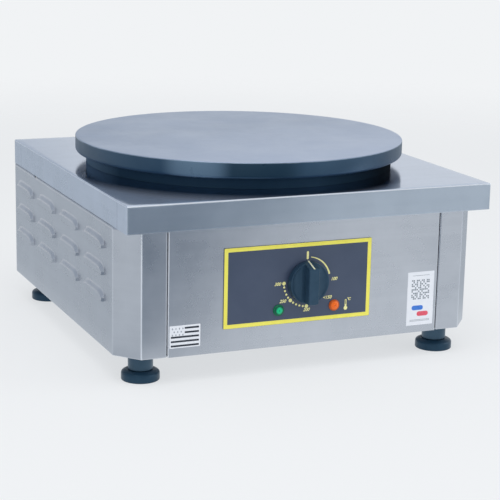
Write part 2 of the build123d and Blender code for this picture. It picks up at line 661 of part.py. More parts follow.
def control_knob():
    """Round skirt with an upright grip bar; the bar's upper end slopes back to the scale."""
    skirt_h = 7.5
    skirt_r, rim_r, bar_r = 24.4, 23.8, 23.0
    bar_w = 12.5
    skirt = Pos(0, 0, skirt_h / 2) * Cone(skirt_r, rim_r, skirt_h)
    skirt = fillet(skirt.edges().group_by(Axis.Z)[-1], 1.2)
    for sx in (-1, 1):
        scoop = Pos(sx * 16.5, 0, skirt_h + 12.8) * Rot(90, 0, 0) * Cylinder(14.0, 60.0)
        skirt -= scoop
    side = make_face(Polyline((-bar_r - 2, 0), (-bar_r - 2, KNOB_DEPTH), (18.8, KNOB_DEPTH),
                              (24.9, 0), close=True))
    bar = extrude(Plane.YZ * side, bar_w / 2, both=True)
    low_end = Pos(0, 0, KNOB_DEPTH / 2) * Cylinder(bar_r, KNOB_DEPTH)
    high_end = block(-bar_w, bar_w, 0, 40, 0, KNOB_DEPTH)
    bar = bar & (low_end + high_end)
    bar = fillet(bar.edges().group_by(Axis.Z)[-1], 0.8)
    knob = skirt + bar
    knob -= rod((0, 0, 0), UP, SHAFT_R + RUNNING, 14.0)
    knob -= Pos(0, 0, 1.0) * (Cylinder(19.5, 2.0) - Cylinder(6.5, 2.0))
    place = Plane(origin=(DIAL[0], KNOB_BACK, DIAL[1]), x_dir=RIGHT, z_dir=FRONT)
    return place * knob


def thermostat_shaft():
    """Steel spindle with a flat, from the knob into the thermostat."""
    x, z = DIAL
    front = KNOB_BACK - 13.5
    shaft = rod((x, front, z), BACK, SHAFT_R, SHAFT_END_Y - front)
    return shaft - block(x - 4, x + 4, front, front + 11, z + 2.0, z + 4.0)


def lamp_axis(side):
    """Centre of a pilot lamp on the fascia's face."""
    return DIAL[0] + side * LAMP_DX, FASCIA_FRONT, LAMP_Z


def pilot_lens(side):
    """Domed lens with a thin collar and a stem through the panel."""
    x, y, z = lamp_axis(side)
    collar = rod((x, y, z), FRONT, 6.6, 1.4)
    dome_r = 8.6
    reach = 5.9
    rise = dome_r - math.sqrt(dome_r ** 2 - reach ** 2)
    ball = Pos(x, y - 1.4 - rise + dome_r, z) * Sphere(dome_r)
    dome = ball & rod((x, y - 1.4, z), FRONT, reach, 6.0)
    stem = rod((x, y, z), BACK, LAMP_STEM_R, 9.0)
    return collar + dome + stem


def pilot_lamp_bodies():
    """Lamp holders behind both lenses, each with two blades."""
    bodies = []
    for side in (-1, 1):
        x, y, z = lamp_axis(side)
        body = rod((x, y + 9.0, z), BACK, 4.8, 22.0)
        for dz in (-2.6, 2.6):
            body += block(x - 1.4, x + 1.4, y + 31.0, y + 38.0, z + dz - 0.4, z + dz + 0.4)
        bodies.append(body)
    return bodies


def lamp_clips():
    """Square push-on clips that hold the lamps behind the panel."""
    clips = []
    for side in (-1, 1):
        x, _, z = lamp_axis(side)
        clip = block(x - 7.5, x + 7.5, CASE_FRONT_IN, CASE_FRONT_IN + 0.6, z - 7.5, z + 7.5)
        clips.append(clip - rod((x, CASE_FRONT_IN, z), BACK, LAMP_STEM_R + 0.05, 0.6))
    return clips


def striped_sticker():
    """Small striped sticker at the panel's lower left."""
    return block(*STRIPED_X, CASE_FRONT - STICKER_T, CASE_FRONT, *STRIPED_Z)


def white_label():
    """Tall white label at the panel's lower right."""
    return block(*WHITE_X, CASE_FRONT - STICKER_T, CASE_FRONT, *WHITE_Z)


# ---- supply and bonding -------------------------------------------------------------
def gland_body():
    """Gland body: thread through the rear panel and a hexagon outside."""
    y0 = INSIDE_Y + 2.0
    thread = rod((GLAND_X, y0, GLAND_Z), BACK, GLAND_THREAD_R, REAR_SHEET_Y - y0)
    head = hexagon((GLAND_X, REAR_SHEET_Y, GLAND_Z), BACK, 24.0, 5.0)
    body = thread + head
    return body - rod((GLAND_X, y0, GLAND_Z), BACK, GLAND_SEAL_R, 30.0)


def gland_nut():
    """Domed clamping nut."""
    y0 = REAR_SHEET_Y + 5.0
    length = GLAND_END_Y - y0
    nut = hexagon((GLAND_X, y0, GLAND_Z), BACK, 22.0, length * 0.6)
    place = Plane(origin=(GLAND_X, y0 + length * 0.6, GLAND_Z), z_dir=BACK)
    nut += place * Pos(0, 0, length * 0.2) * Cone(10.6, 8.0, length * 0.4)
    return nut - rod((GLAND_X, y0, GLAND_Z), BACK, 6.6, length)


def gland_seal():
    """Rubber sleeve that grips the cable."""
    y0 = REAR_SHEET_Y - 6.0
    return tube((GLAND_X, y0, GLAND_Z), BACK, GLAND_SEAL_R, CABLE_BORE_R, 11.0)


def gland_locknut():
    """Flat nut inside the rear panel."""
    y0 = REAR_SHEET_Y - SHEET - 4.0
    return hexagon((GLAND_X, y0, GLAND_Z), BACK, 26.0, 4.0, bore=GLAND_THREAD_R)


def bonding_stud():
    """Equipotential bonding stud through the rear panel, grooved where its free thread begins."""
    stud = rod((BOND_X, INSIDE_Y, BOND_Z), BACK, BOND_R, BOND_END_Y - INSIDE_Y)
    groove_r, groove_l = RUN_OUT
    nut_face = REAR_SHEET_Y + WASHER_T + BOND_NUT_H
    return stud - tube((BOND_X, nut_face, BOND_Z), BACK, BOND_R + 1.0, groove_r, groove_l)


def bonding_nuts():
    """Its nut and washer inside, and the two outside."""
    y0 = REAR_SHEET_Y - SHEET
    inside = tube((BOND_X, y0, BOND_Z), FRONT, 6.0, BOND_R, WASHER_T)
    inside += hexagon((BOND_X, y0 - WASHER_T, BOND_Z), FRONT, 10.0, 5.0, bore=BOND_R)
    outside = tube((BOND_X, REAR_SHEET_Y, BOND_Z), BACK, 6.0, BOND_R, WASHER_T)
    outside += hexagon((BOND_X, REAR_SHEET_Y + WASHER_T, BOND_Z), BACK, 10.0, BOND_NUT_H, bore=BOND_R)
    return [inside, outside]


def pole_x(index):
    """Middle of one pole of the terminal block."""
    return BLOCK_X[0] + (index + 0.5) * (BLOCK_X[1] - BLOCK_X[0]) / POLES


def terminal_block():
    """Terminal block on the tray, one pole for each conductor."""
    body = block(*BLOCK_X, *BLOCK_Y, TRAY_TOP, TRAY_TOP + BLOCK_H)
    for i in range(1, POLES):
        x = pole_x(i) - 6.0
        body -= block(x - 0.7, x + 0.7, *BLOCK_Y, TRAY_TOP + 9, TRAY_TOP + BLOCK_H)
    for i in range(POLES):
        for y in SCREW_ROWS:
            body -= rod((pole_x(i), y, TRAY_TOP + 12), UP, 2.6, 8.0)
    return body


def terminal_screws():
    """Clamping screws down in the terminal block."""
    return [rod((pole_x(i), y, TRAY_TOP + 12), UP, 2.5, 5.5) for i in range(POLES) for y in SCREW_ROWS]


def wiring_leads():
    """Heat-proof leads from the terminal block to the control and the loops."""
    x, z = DIAL
    blade_y = THERMOSTAT_Y[1] + 12.0 + BLADE_L
    front_y = BLOCK_Y[0]
    z_in = TRAY_TOP + 6.0
    leads = []
    for pole, dx, dz in ((0, -9, -8), (1, 9, -8)):
        x0 = pole_x(pole)
        leads.append([(x0, front_y, z_in), (x0, 118, z_in), (x0 + 26, 62, z_in + 2),
                      (x0 + 70, -6, z_in + 6), (x0 + 104, -66, z_in + 22), (x + dx, -118, z + dz),
                      (x + dx, blade_y, z + dz)])
    legs = [leg_spots(r, a) for r, a in zip(LOOP_RADII, LOOP_GAPS)]
    pin_z = LEG_LOW - PIN_L
    (ox, oy), (mx, my), (ix, iy) = legs[0][0], legs[1][1], legs[2][1]
    leads.append([(x + 9, blade_y, z + 8), (x + 9, blade_y + 24, z + 8), (x + 34, blade_y + 18, z + 24),
                  (ox, oy, pin_z - 24), (ox, oy, pin_z)])
    leads.append([(x - 9, blade_y, z + 8), (x - 9, blade_y + 28, z + 8), (x + 6, blade_y + 62, z + 22),
                  (mx - 40, my - 22, z + 34), (mx, my, pin_z - 22), (mx, my, pin_z)])
    leads.append([(pole_x(3), front_y, z_in), (pole_x(3), 118, z_in), (-104, 78, z_in + 40),
                  (-84, 40, z_in + 84), (ix, iy, pin_z - 20), (ix, iy, pin_z)])
    radii = [[14, 22, 22, 20, 12], [14, 22, 22, 20, 12], [10, 10, 10], [10, 12, 12, 10], [12, 16, 16, 9]]
    return [bent_rod(along(points, r), LEAD_R) for points, r in zip(leads, radii)]


# ---- levelling feet -----------------------------------------------------------------
def foot_weld_nuts():
    """Nuts welded into the tray over the feet."""
    return [hexagon((x, y, TRAY_TOP), UP, 17.0, 10.0, bore=FOOT_STUD_R + RUNNING)
            for x, y in FOOT_SPOTS.values()]


def foot_pad(x, y):
    """Round foot that stands still on the table while the screw turns in it."""
    band_top = 9.0
    outline = make_face(Polyline((0, 0), (PAD_R - 1.2, 0), (PAD_R, 1.2), (PAD_R, band_top),
                                 (16.0, PAD_H), (0, PAD_H), close=True))
    pad = revolve(Plane.XZ * outline, Axis.Z)
    pad -= rod((0, 0, SPIGOT_LOW - 0.3), UP, SPIGOT_R + RUNNING, PAD_H)
    return Pos(x, y, 0) * pad


def foot_screw(x, y):
    """Collared screw: a spigot in the pad, a grip collar and the threaded stud."""
    collar_low = PAD_H + COLLAR_GAP
    collar_top = TRAY_LOW - COLLAR_GAP
    spigot = rod((0, 0, SPIGOT_LOW), UP, SPIGOT_R, collar_low - SPIGOT_LOW)
    collar = rod((0, 0, collar_low), UP, NECK_R, collar_top - collar_low)
    collar = fillet(collar.edges().filter_by(GeomType.CIRCLE), 0.5)
    stud = rod((0, 0, collar_top), UP, FOOT_STUD_R, FOOT_STUD_TOP - collar_top)
    return Pos(x, y, 0) * (spigot + collar + stud)


# ---- write one file for each sub-part -----------------------------------------------
def nodes():
    """Every sub-part by its name."""
    left = left_side_casing()
    parts = {
        "griddle_plate": griddle_plate(),
        "plate_studs": plate_studs(),
        "stud_nuts": stud_nuts(),
        "spacer_tubes": spacer_tubes(),
        "element_clamp_bars": element_clamp_bars(),
        "element_terminals": element_terminals(),
        "reflector_dish": reflector_dish(),
        "insulation_board": insulation_board(),
        "insulation_pan": insulation_pan(),
        "heat_ring": heat_ring(),
        "ring_rivets": ring_rivets(),
        "sensing_bulb": sensing_bulb(),
        "bulb_clip": bulb_clip(),
        "capillary_tube": capillary_tube(),
        "thermostat_bracket": thermostat_bracket(),
        "thermostat_housing": thermostat_housing(),
        "thermostat_switch_base": thermostat_switch_base(),
        "weld_studs": weld_studs(),
        "weld_stud_nuts": weld_stud_nuts(),
        "top_cover": top_cover(),
        "left_side_casing": left,
        "right_side_casing": mirrored(left),
        "front_panel": front_panel(),
        "rear_panel": rear_panel(),
        "base_tray": base_tray(),
        "support_rails": support_rails(),
        "base_screws": base_screws(),
        "rear_screws": rear_screws(),
        "seam_screws": seam_screws(),
        "fascia_plate": fascia_plate(),
        "control_knob": control_knob(),
        "thermostat_shaft": thermostat_shaft(),
        "pilot_lens_green": pilot_lens(-1),
        "pilot_lens_orange": pilot_lens(1),
        "pilot_lamp_bodies": pilot_lamp_bodies(),
        "lamp_clips": lamp_clips(),
        "striped_sticker": striped_sticker(),
        "white_label": white_label(),
        "gland_body": gland_body(),
        "gland_nut": gland_nut(),
        "gland_seal": gland_seal(),
        "gland_locknut": gland_locknut(),
        "bonding_stud": bonding_stud(),
        "bonding_nuts": bonding_nuts(),
        "terminal_block": terminal_block(),
        "terminal_screws": terminal_screws(),
        "wiring_leads": wiring_leads(),
        "foot_weld_nuts": foot_weld_nuts(),
    }
    for name, loop_r, mid in zip(("outer", "middle", "inner"), LOOP_RADII, LOOP_GAPS):
        parts[f"heating_loop_{name}"] = heating_loop(loop_r, mid)
    for name, (x, y) in FOOT_SPOTS.items():
        parts[f"foot_pad_{name}"] = foot_pad(x, y)
        parts[f"foot_screw_{name}"] = foot_screw(x, y)
    return parts


os.makedirs("parts", exist_ok=True)
for name, shape in nodes().items():
    if isinstance(shape, list):
        shape = Compound(children=shape)
    export_step(shape, f"parts/{name}.step")
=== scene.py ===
import math

import bmesh
import bpy
import numpy as np
from mathutils import Matrix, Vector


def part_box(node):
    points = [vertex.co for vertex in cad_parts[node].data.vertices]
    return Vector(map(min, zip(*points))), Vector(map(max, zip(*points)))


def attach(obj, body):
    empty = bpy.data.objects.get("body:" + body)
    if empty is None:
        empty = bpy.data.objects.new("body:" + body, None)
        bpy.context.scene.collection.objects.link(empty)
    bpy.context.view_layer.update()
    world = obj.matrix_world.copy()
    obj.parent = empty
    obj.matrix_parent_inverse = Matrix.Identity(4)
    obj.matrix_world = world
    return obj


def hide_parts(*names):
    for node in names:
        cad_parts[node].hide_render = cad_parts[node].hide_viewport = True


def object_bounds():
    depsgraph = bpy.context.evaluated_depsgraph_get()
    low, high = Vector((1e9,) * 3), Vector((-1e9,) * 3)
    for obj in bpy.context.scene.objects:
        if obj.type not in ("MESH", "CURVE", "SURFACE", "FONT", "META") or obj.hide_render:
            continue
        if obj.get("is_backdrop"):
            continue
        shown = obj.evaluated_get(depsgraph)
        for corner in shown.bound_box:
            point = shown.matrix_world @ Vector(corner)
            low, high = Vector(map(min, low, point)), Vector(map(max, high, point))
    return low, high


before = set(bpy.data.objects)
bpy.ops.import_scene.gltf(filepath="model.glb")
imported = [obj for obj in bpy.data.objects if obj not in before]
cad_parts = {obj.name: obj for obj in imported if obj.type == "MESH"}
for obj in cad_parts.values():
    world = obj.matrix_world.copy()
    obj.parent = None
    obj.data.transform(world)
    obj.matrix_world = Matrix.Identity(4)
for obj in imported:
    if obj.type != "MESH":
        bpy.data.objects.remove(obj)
cad_box = [list(corner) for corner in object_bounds()]

# ---- Studio ---------------------------------------------------------------------------
# The machine stands on a pale table and is seen from the front left, two metres away, through a
# long lens.  The room is a white tent, shaded at its top and its left, with one large soft lamp
# above and a smaller one at the right.
eye = np.array((-0.7468, -1.7673, 0.5476))
yaw, pitch, roll = np.radians((23.40, 13.26, 1.18))
ahead = np.array((math.sin(yaw) * math.cos(pitch), math.cos(yaw) * math.cos(pitch),
                  -math.sin(pitch)))
level = np.array((math.cos(yaw), -math.sin(yaw), 0.0))
upright = np.cross(level, ahead)
rightward = level * math.cos(roll) + upright * math.sin(roll)
upward = upright * math.cos(roll) - level * math.sin(roll)


def new_object(name, data, axes=()):
    """Object in the scene; axes gives the columns of its matrix, which are its x, y and z and its
    place."""
    thing = bpy.data.objects.new(name, data)
    bpy.context.scene.collection.objects.link(thing)
    if axes:
        thing.matrix_world = Matrix((*np.column_stack(axes), (0, 0, 0, 1)))
    return thing


camera = new_object("camera", bpy.data.cameras.new("camera"), (rightward, upward, -ahead, eye))
camera.data.lens = 113.5
bpy.context.scene.camera = camera
bpy.context.scene.view_settings.view_transform = "Standard"

BACKDROP, TENT_SHADE = (0.879, 0.896, 0.913), (0.42, 0.48, 0.56)
ROOM_LIGHT = 0.62
AIM_Z = 0.12  # the lamps point at the machine's middle


def add(tree, kind, inputs=(), **settings):
    """Node of a kind in a tree: settings are its own properties, and inputs maps sockets, by name or
    place, to values, to other nodes' outputs, or to nodes whose first output counts."""
    node = tree.nodes.new(kind)
    for key, value in settings.items():
        setattr(node, key, value)
    for key, value in dict(inputs).items():
        value = value.outputs[0] if isinstance(value, bpy.types.Node) else value
        if isinstance(value, bpy.types.NodeSocket):
            tree.links.new(value, node.inputs[key])
        else:
            node.inputs[key].default_value = value
    return node


def number(tree, operation, first, second=0.0):
    """Result of a math node on one or two numbers."""
    return add(tree, "ShaderNodeMath", {0: first, 1: second}, operation=operation).outputs[0]


def vector(tree, operation, first, second=(0.0, 0.0, 0.0)):
    """Result of a vector math node: a number where it measures, and otherwise a vector."""
    node = add(tree, "ShaderNodeVectorMath", {0: first, 1: second}, operation=operation)
    return node.outputs["Value" if operation in ("DOT_PRODUCT", "LENGTH", "DISTANCE") else 0]


def here(tree):
    """Place of the shaded point, in metres."""
    return add(tree, "ShaderNodeTexCoord").outputs["Object"]


def measured(tree, direction):
    """Dot product of the shaded point's place and a direction."""
    return vector(tree, "DOT_PRODUCT", here(tree), direction)


def ramp(tree, value, start, end, low=0.0, high=1.0, kind="LINEAR"):
    """Number that runs from low to high while a value runs from start to end."""
    return add(tree, "ShaderNodeMapRange", {"Value": value, "From Min": start, "From Max": end,
                                            "To Min": low, "To Max": high},
               interpolation_type=kind).outputs[0]


def ease(tree, value, start, end, high=1.0, low=0.0):
    """A ramp that begins and ends softly."""
    return ramp(tree, value, start, end, low, high, "SMOOTHSTEP")


def blend(tree, mask, low, high):
    """Colour that runs from low to high with a mask; each may be a colour or an output."""
    ends = [c if isinstance(c, bpy.types.NodeSocket) else (*c, 1.0) for c in (low, high)]
    return add(tree, "ShaderNodeMix", {0: mask, 6: ends[0], 7: ends[1]}, data_type="RGBA").outputs[2]


world = bpy.data.worlds.new("white_tent")
bpy.context.scene.world = world
world.use_nodes = True
tree = world.node_tree
tree.nodes.clear()
rays = add(tree, "ShaderNodeLightPath").outputs
seen = number(tree, "MAXIMUM", rays["Is Camera Ray"], rays["Is Glossy Ray"])
seen = number(tree, "MAXIMUM", seen, rays["Is Transmission Ray"])
lighting = add(tree, "ShaderNodeBackground", {"Color": (0.95, 0.97, 1.0, 1.0), "Strength": ROOM_LIGHT})
way = add(tree, "ShaderNodeTexCoord").outputs["Generated"]
way_x, way_z = (vector(tree, "DOT_PRODUCT", way, axis) for axis in ((1.0, 0.0, 0.0), (0.0, 0.0, 1.0)))
left = number(tree, "ADD", ease(tree, way_x, 0.32, 0.23, 0.6), ease(tree, way_x, 0.12, -0.20, 0.3))
left = number(tree, "MULTIPLY", left, ease(tree, way_z, 0.0, 0.12))
shaded = number(tree, "MAXIMUM", ease(tree, way_z, 0.34, 0.80), left)
tent = blend(tree, shaded, BACKDROP, TENT_SHADE)
backdrop = add(tree, "ShaderNodeBackground", {"Color": tent, "Strength": 1.0})
mixed = add(tree, "ShaderNodeMixShader", {0: seen, 1: lighting, 2: backdrop})
add(tree, "ShaderNodeOutputWorld", {"Surface": mixed})

for name, place, size, power in (("lamp_above", (-0.5, -0.7, 1.9), 1.6, 15.0),
                                 ("lamp_right", (1.9, -1.0, 1.0), 1.2, 9.0)):
    towards = np.array((0.0, 0.0, AIM_Z)) - place
    towards /= np.linalg.norm(towards)
    across = np.cross(towards, (0.0, 0.0, 1.0))
    across /= np.linalg.norm(across)
    lamp = new_object(name, bpy.data.lights.new(name, "AREA"),
                      (across, np.cross(across, towards), -towards, place))
    lamp.data.size, lamp.data.energy = size, power


def quads(points, around=False, along=False, caps=False):
    """Points and faces of a grid [u, v, xyz]: around and along join the last row or column to the
    first, and caps closes both ends of u with one face each."""
    nu, nv = points.shape[:2]
    index = np.arange(nu * nv).reshape(nu, nv)
    ends = [index[0][::-1].tolist(), index[-1].tolist()] if caps else []
    if around:
        index = np.vstack((index, index[:1]))
    if along:
        index = np.hstack((index, index[:, :1]))
    faces = np.stack((index[:-1, :-1], index[1:, :-1], index[1:, 1:], index[:-1, 1:]), -1)
    return points.reshape(-1, 3), faces.reshape(-1, 4).tolist() + ends


def mesh_object(name, shells, sharp=40.0, outward=True):
    """Object of one or more shells of points and faces: doubles merged, so poles and seams close,
    faces turned outwards, and smooth but for edges sharper than that many degrees."""
    points, faces, start = [], [], 0
    for co, polygons in shells:
        points.append(co)
        faces += [[i + start for i in polygon] for polygon in polygons]
        start += len(co)
    mesh = bpy.data.meshes.new(name)
    mesh.from_pydata(np.vstack(points), [], faces)
    work = bmesh.new()
    work.from_mesh(mesh)
    bmesh.ops.remove_doubles(work, verts=work.verts, dist=1e-7)
    bmesh.ops.dissolve_degenerate(work, edges=work.edges, dist=1e-8)
    if outward:
        bmesh.ops.recalc_face_normals(work, faces=work.faces)
    work.to_mesh(mesh)
    work.free()
    mesh.shade_smooth()
    mesh.set_sharp_from_angle(angle=math.radians(sharp))
    return new_object(name, mesh)


def stations(count):
    """Angles of that many stations round a circle."""
    return np.arange(count) * 2 * math.pi / count


def circle_of(angle):
    """Points (cos a, sin a) of the unit circle."""
    return np.stack((np.cos(angle), np.sin(angle)), axis=-1)


def ringed(radius, height, origin=(0, 0, 0), axis=(0, 0, 1), along=False):
    """Surface round an axis: station a, row k lies at origin + radius[a, k] * (across * cos a + beside
    * sin a) + height[a, k] * axis.  A radius that changes with a makes nuts, slots and threads."""
    axis = np.asarray(axis, float)
    across = np.array((1.0, 0.0, 0.0)) if abs(axis[0]) < 0.9 else np.array((0.0, 1.0, 0.0))
    angle = stations(len(radius))[:, None]
    ring = np.cos(angle) * across + np.sin(angle) * np.cross(axis, across)
    height = np.broadcast_to(height, radius.shape)
    points = np.asarray(origin, float) + ring[:, None] * radius[:, :, None] + height[:, :, None] * axis
    return quads(points, around=True, along=along)


def turned(profile, origin=(0, 0, 0), axis=(0, 0, 1), segments=128, along=False):
    """Surface of revolution of a profile of (radius, height) points."""
    radius, height = np.asarray(profile, float).T
    return ringed(np.tile(radius, (segments, 1)), height, origin, axis, along)


def stage_material(thing, name, build):
    """Material of the studio: build makes its shader in an empty tree."""
    material = bpy.data.materials.new(name)
    material.use_nodes = True
    material.node_tree.nodes.clear()
    add(material.node_tree, "ShaderNodeOutputMaterial", {"Surface": build(material.node_tree)})
    thing.data.materials.append(material)
    thing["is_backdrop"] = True


# The table top is a wide disc that fades into the backdrop, so that only the shadow shows.
def table_white(tree):
    """A third white paper, two thirds glow of the backdrop's colour, and clear towards the edge."""
    fade = ease(tree, vector(tree, "LENGTH", here(tree)), 1.1, 2.6)
    paper = add(tree, "ShaderNodeBsdfDiffuse", {"Color": (0.90, 0.915, 0.93, 1.0)})
    glow = add(tree, "ShaderNodeEmission", {"Color": (*BACKDROP, 1.0), "Strength": 1.0})
    lit = add(tree, "ShaderNodeMixShader", {0: 0.68, 1: paper, 2: glow})
    return add(tree, "ShaderNodeMixShader", {0: fade, 1: lit, 2: add(tree, "ShaderNodeBsdfTransparent")})


floor = mesh_object("table_top", [turned([(0.0, 0.0), (1.0, 0.0), (5.0, 0.0)], segments=96)],
                    outward=False)
stage_material(floor, "table_white", table_white)

# A grey cloth lies on the table out of view, and upright polished faces mirror it.
CLOTH_LIGHT, CLOTH_DARK = (0.82, 0.87, 0.91), (0.175, 0.23, 0.30)
CLOTH_HALF_W, CLOTH_HALF_D, CLOTH_Z = 3.5, 3.4, 0.004


def cloth_grey(tree):
    """Glow between light and dark by place, in metres; the darkest of three parts counts.  The front
    left darkens as x + 0.64 y falls from -0.19 to -0.49, but for a pale spot 1.2 m in front.  The left
    is up to 0.44 dark from x = -0.29 on, and half that farther out.  The right darkens as x + 0.43 y
    grows past 0.06 and again past 0.20."""
    x, y = measured(tree, (1.0, 0.0, 0.0)), measured(tree, (0.0, 1.0, 0.0))
    front = ease(tree, measured(tree, (1.0, 0.64, 0.0)), -0.187, -0.487)
    spot = vector(tree, "DISTANCE", here(tree), (-0.28, -1.16, 0.0))
    for part in (ease(tree, y, -0.16, -0.38), ease(tree, x, -0.55, -0.28), ease(tree, spot, 0.10, 0.26)):
        front = number(tree, "MULTIPLY", front, part)
    farther = ease(tree, measured(tree, (1.0, 0.5, 0.0)), -0.32, -0.52, high=0.5, low=1.0)
    left = number(tree, "MULTIPLY", ease(tree, x, -0.18, -0.29, 0.44), farther)
    beside = measured(tree, (1.0, 0.43, 0.0))
    right = number(tree, "ADD", ease(tree, beside, 0.06, 0.13, 0.13), ease(tree, beside, 0.20, 0.42, 0.32))
    right = number(tree, "MULTIPLY", right, ease(tree, y, -0.92, -0.78))
    dark = number(tree, "MAXIMUM", number(tree, "MAXIMUM", front, left), right)
    tone = blend(tree, dark, CLOTH_LIGHT, CLOTH_DARK)
    return add(tree, "ShaderNodeEmission", {"Color": tone, "Strength": 1.0})


cloth_corners = np.array([[(x, y, CLOTH_Z) for x in (-CLOTH_HALF_W, CLOTH_HALF_W)]
                          for y in (-CLOTH_HALF_D, CLOTH_HALF_D)])
cloth = mesh_object("grey_cloth", [quads(cloth_corners)], outward=False)
cloth.visible_camera = cloth.visible_diffuse = cloth.visible_shadow = False
stage_material(cloth, "cloth_grey", cloth_grey)

# ---- Griddle plate --------------------------------------------------------------------
# Cast-iron plate, turned flat on top and on its rim, with a deeper rim round its underside.
# The cooking face is seasoned, so it is smooth and dark with a soft sheen.
def rounded(corners, radii, steps=6):
    """Open line through 2-D corners, each made an arc: it begins radius / tan(half the inner angle)
    before the corner and turns about a centre on the corner's bisector."""
    corners = np.asarray(corners, float)
    line = [corners[:1]]
    for before, corner, after, radius in zip(corners, corners[1:], corners[2:],
                                             np.broadcast_to(radii, len(corners) - 2)):
        back = (before - corner) / np.linalg.norm(before - corner)
        on = (after - corner) / np.linalg.norm(after - corner)
        half = math.acos(np.clip(back @ on, -1.0, 1.0)) / 2
        centre = corner + (back + on) / np.linalg.norm(back + on) * radius / math.sin(half)
        x, y = corner + back * radius / math.tan(half) - centre
        side = np.sign(on[0] * back[1] - on[1] * back[0])
        angle = np.linspace(0.0, math.pi - 2 * half, steps + 1)
        line.append(centre + np.column_stack((x * np.cos(angle) - side * y * np.sin(angle),
                                              side * x * np.sin(angle) + y * np.cos(angle))))
    line.append(corners[-1:])
    return np.vstack(line)


def finish_of(name, **sockets):
    """Material with one Principled BSDF, whose own sockets take the plain values."""
    material = bpy.data.materials.new(name)
    material.use_nodes = True
    shader = material.node_tree.nodes["Principled BSDF"]
    for key, value in sockets.items():
        shader.inputs[key.replace("_", " ")].default_value = value
    return material, material.node_tree, shader


def feed(shader, **outputs):
    """Links outputs to a shader's sockets."""
    for key, value in outputs.items():
        shader.id_data.links.new(value, shader.inputs[key.replace("_", " ")])


def group_of(name, inputs, *outputs):
    """Empty shader node group: inputs maps names to default numbers or vectors, outputs are numbers.
    Gives the tree, its given values and its results."""
    group = bpy.data.node_groups.new(name, "ShaderNodeTree")
    for socket, default in inputs.items():
        kind = "NodeSocketVector" if isinstance(default, tuple) else "NodeSocketFloat"
        group.interface.new_socket(socket, in_out="INPUT", socket_type=kind).default_value = default
    for socket in outputs:
        group.interface.new_socket(socket, in_out="OUTPUT", socket_type="NodeSocketFloat")
    return group, group.nodes.new("NodeGroupInput").outputs, group.nodes.new("NodeGroupOutput").inputs


# Mottle: soft cloudy variation of a finish, as handling, heat and cleaning leave it.
mottle, given, result = group_of("mottle", {"Fineness": 20.0, "Low": 0.0, "High": 1.0}, "Value")
clouds = add(mottle, "ShaderNodeTexNoise", {"Vector": here(mottle), "Scale": given["Fineness"],
                                            "Detail": 5.0, "Roughness": 0.6})
spread = ramp(mottle, clouds.outputs["Fac"], 0.3, 0.7, given["Low"], given["High"])
mottle.links.new(spread, result["Value"])

# Skin: the small grain of a cast, moulded or painted surface, as a height in metres.
skin, given, result = group_of("skin", {"Fineness": 900.0, "Depth": 0.00003}, "Height")
grain = add(skin, "ShaderNodeTexNoise", {"Vector": here(skin), "Scale": given["Fineness"], "Detail": 3.0,
                                         "Roughness": 0.55})
skin.links.new(number(skin, "MULTIPLY", grain.outputs["Fac"], given["Depth"]), result["Height"])


def use(tree, group, **inputs):
    """Places a node group in a tree with its own values and gives its outputs."""
    node = tree.nodes.new("ShaderNodeGroup")
    node.node_tree = group
    for key, value in inputs.items():
        node.inputs[key].default_value = value
    return node.outputs


def mottled(tree, fineness, low=0.0, high=1.0):
    """Number between low and high that changes in clouds."""
    return use(tree, mottle, Fineness=fineness, Low=low, High=high)["Value"]


def grained(tree, fineness, depth):
    """Height of the skin in metres."""
    return use(tree, skin, Fineness=fineness, Depth=depth)["Height"]


def relief(shader, height):
    """Gives a shader the normal of a height in metres."""
    bump = add(shader.id_data, "ShaderNodeBump", {"Height": height, "Strength": 1.0, "Distance": 1.0})
    feed(shader, Normal=bump.outputs[0])


def cast_iron(name):
    """Seasoned iron: blue-grey with cloudy patches, pale specks, smeared polish, fine turning rings and
    pits.  Its colour is paler to the front, which stands in for sheen."""
    material, tree, shader = finish_of(name, Metallic=1.0)
    shade = blend(tree, mottled(tree, 9.0), (0.325, 0.39, 0.505), (0.375, 0.445, 0.57))
    near = ramp(tree, measured(tree, (0.25, -1.0, 0.0)), -0.06, 0.18)
    shade = blend(tree, near, shade, (0.43, 0.505, 0.65))
    feed(shader, Base_Color=blend(tree, mottled(tree, 85.0, high=0.12), shade, (0.62, 0.70, 0.84)),
         Roughness=mottled(tree, 16.0, 0.34, 0.42))
    radius = vector(tree, "LENGTH", vector(tree, "MULTIPLY", here(tree), (1.0, 1.0, 0.0)))
    rings = add(tree, "ShaderNodeTexNoise", {"W": radius, "Scale": 1400.0, "Detail": 2.0},
                noise_dimensions="1D")
    cuts = number(tree, "MULTIPLY", rings.outputs["Fac"], 0.000012)
    relief(shader, number(tree, "ADD", cuts, grained(tree, 700.0, 0.00004)))
    return material


def make_piece(name, shells, sharp, material, slot, body, *nodes, outward=True):
    """New piece with its finish and body, which stands for the CAD nodes that are named; slot is not used."""
    piece = mesh_object(name, shells, sharp, outward)
    piece.data.materials.append(material)
    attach(piece, body)
    if nodes:
        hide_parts(*nodes)
    return piece


def rows_of(items, key):
    """Vectors of a mesh's vertices or faces, one row each."""
    values = np.empty(len(items) * 3)
    items.foreach_get(key, values)
    return values.reshape(-1, 3)


def lay(material, piece, chosen):
    """Adds a material to a piece and lays it on the chosen faces."""
    index = np.empty(len(chosen), np.int32)
    piece.data.polygons.foreach_get("material_index", index)
    index[chosen] = len(piece.data.materials)
    piece.data.materials.append(material)
    piece.data.polygons.foreach_set("material_index", index)


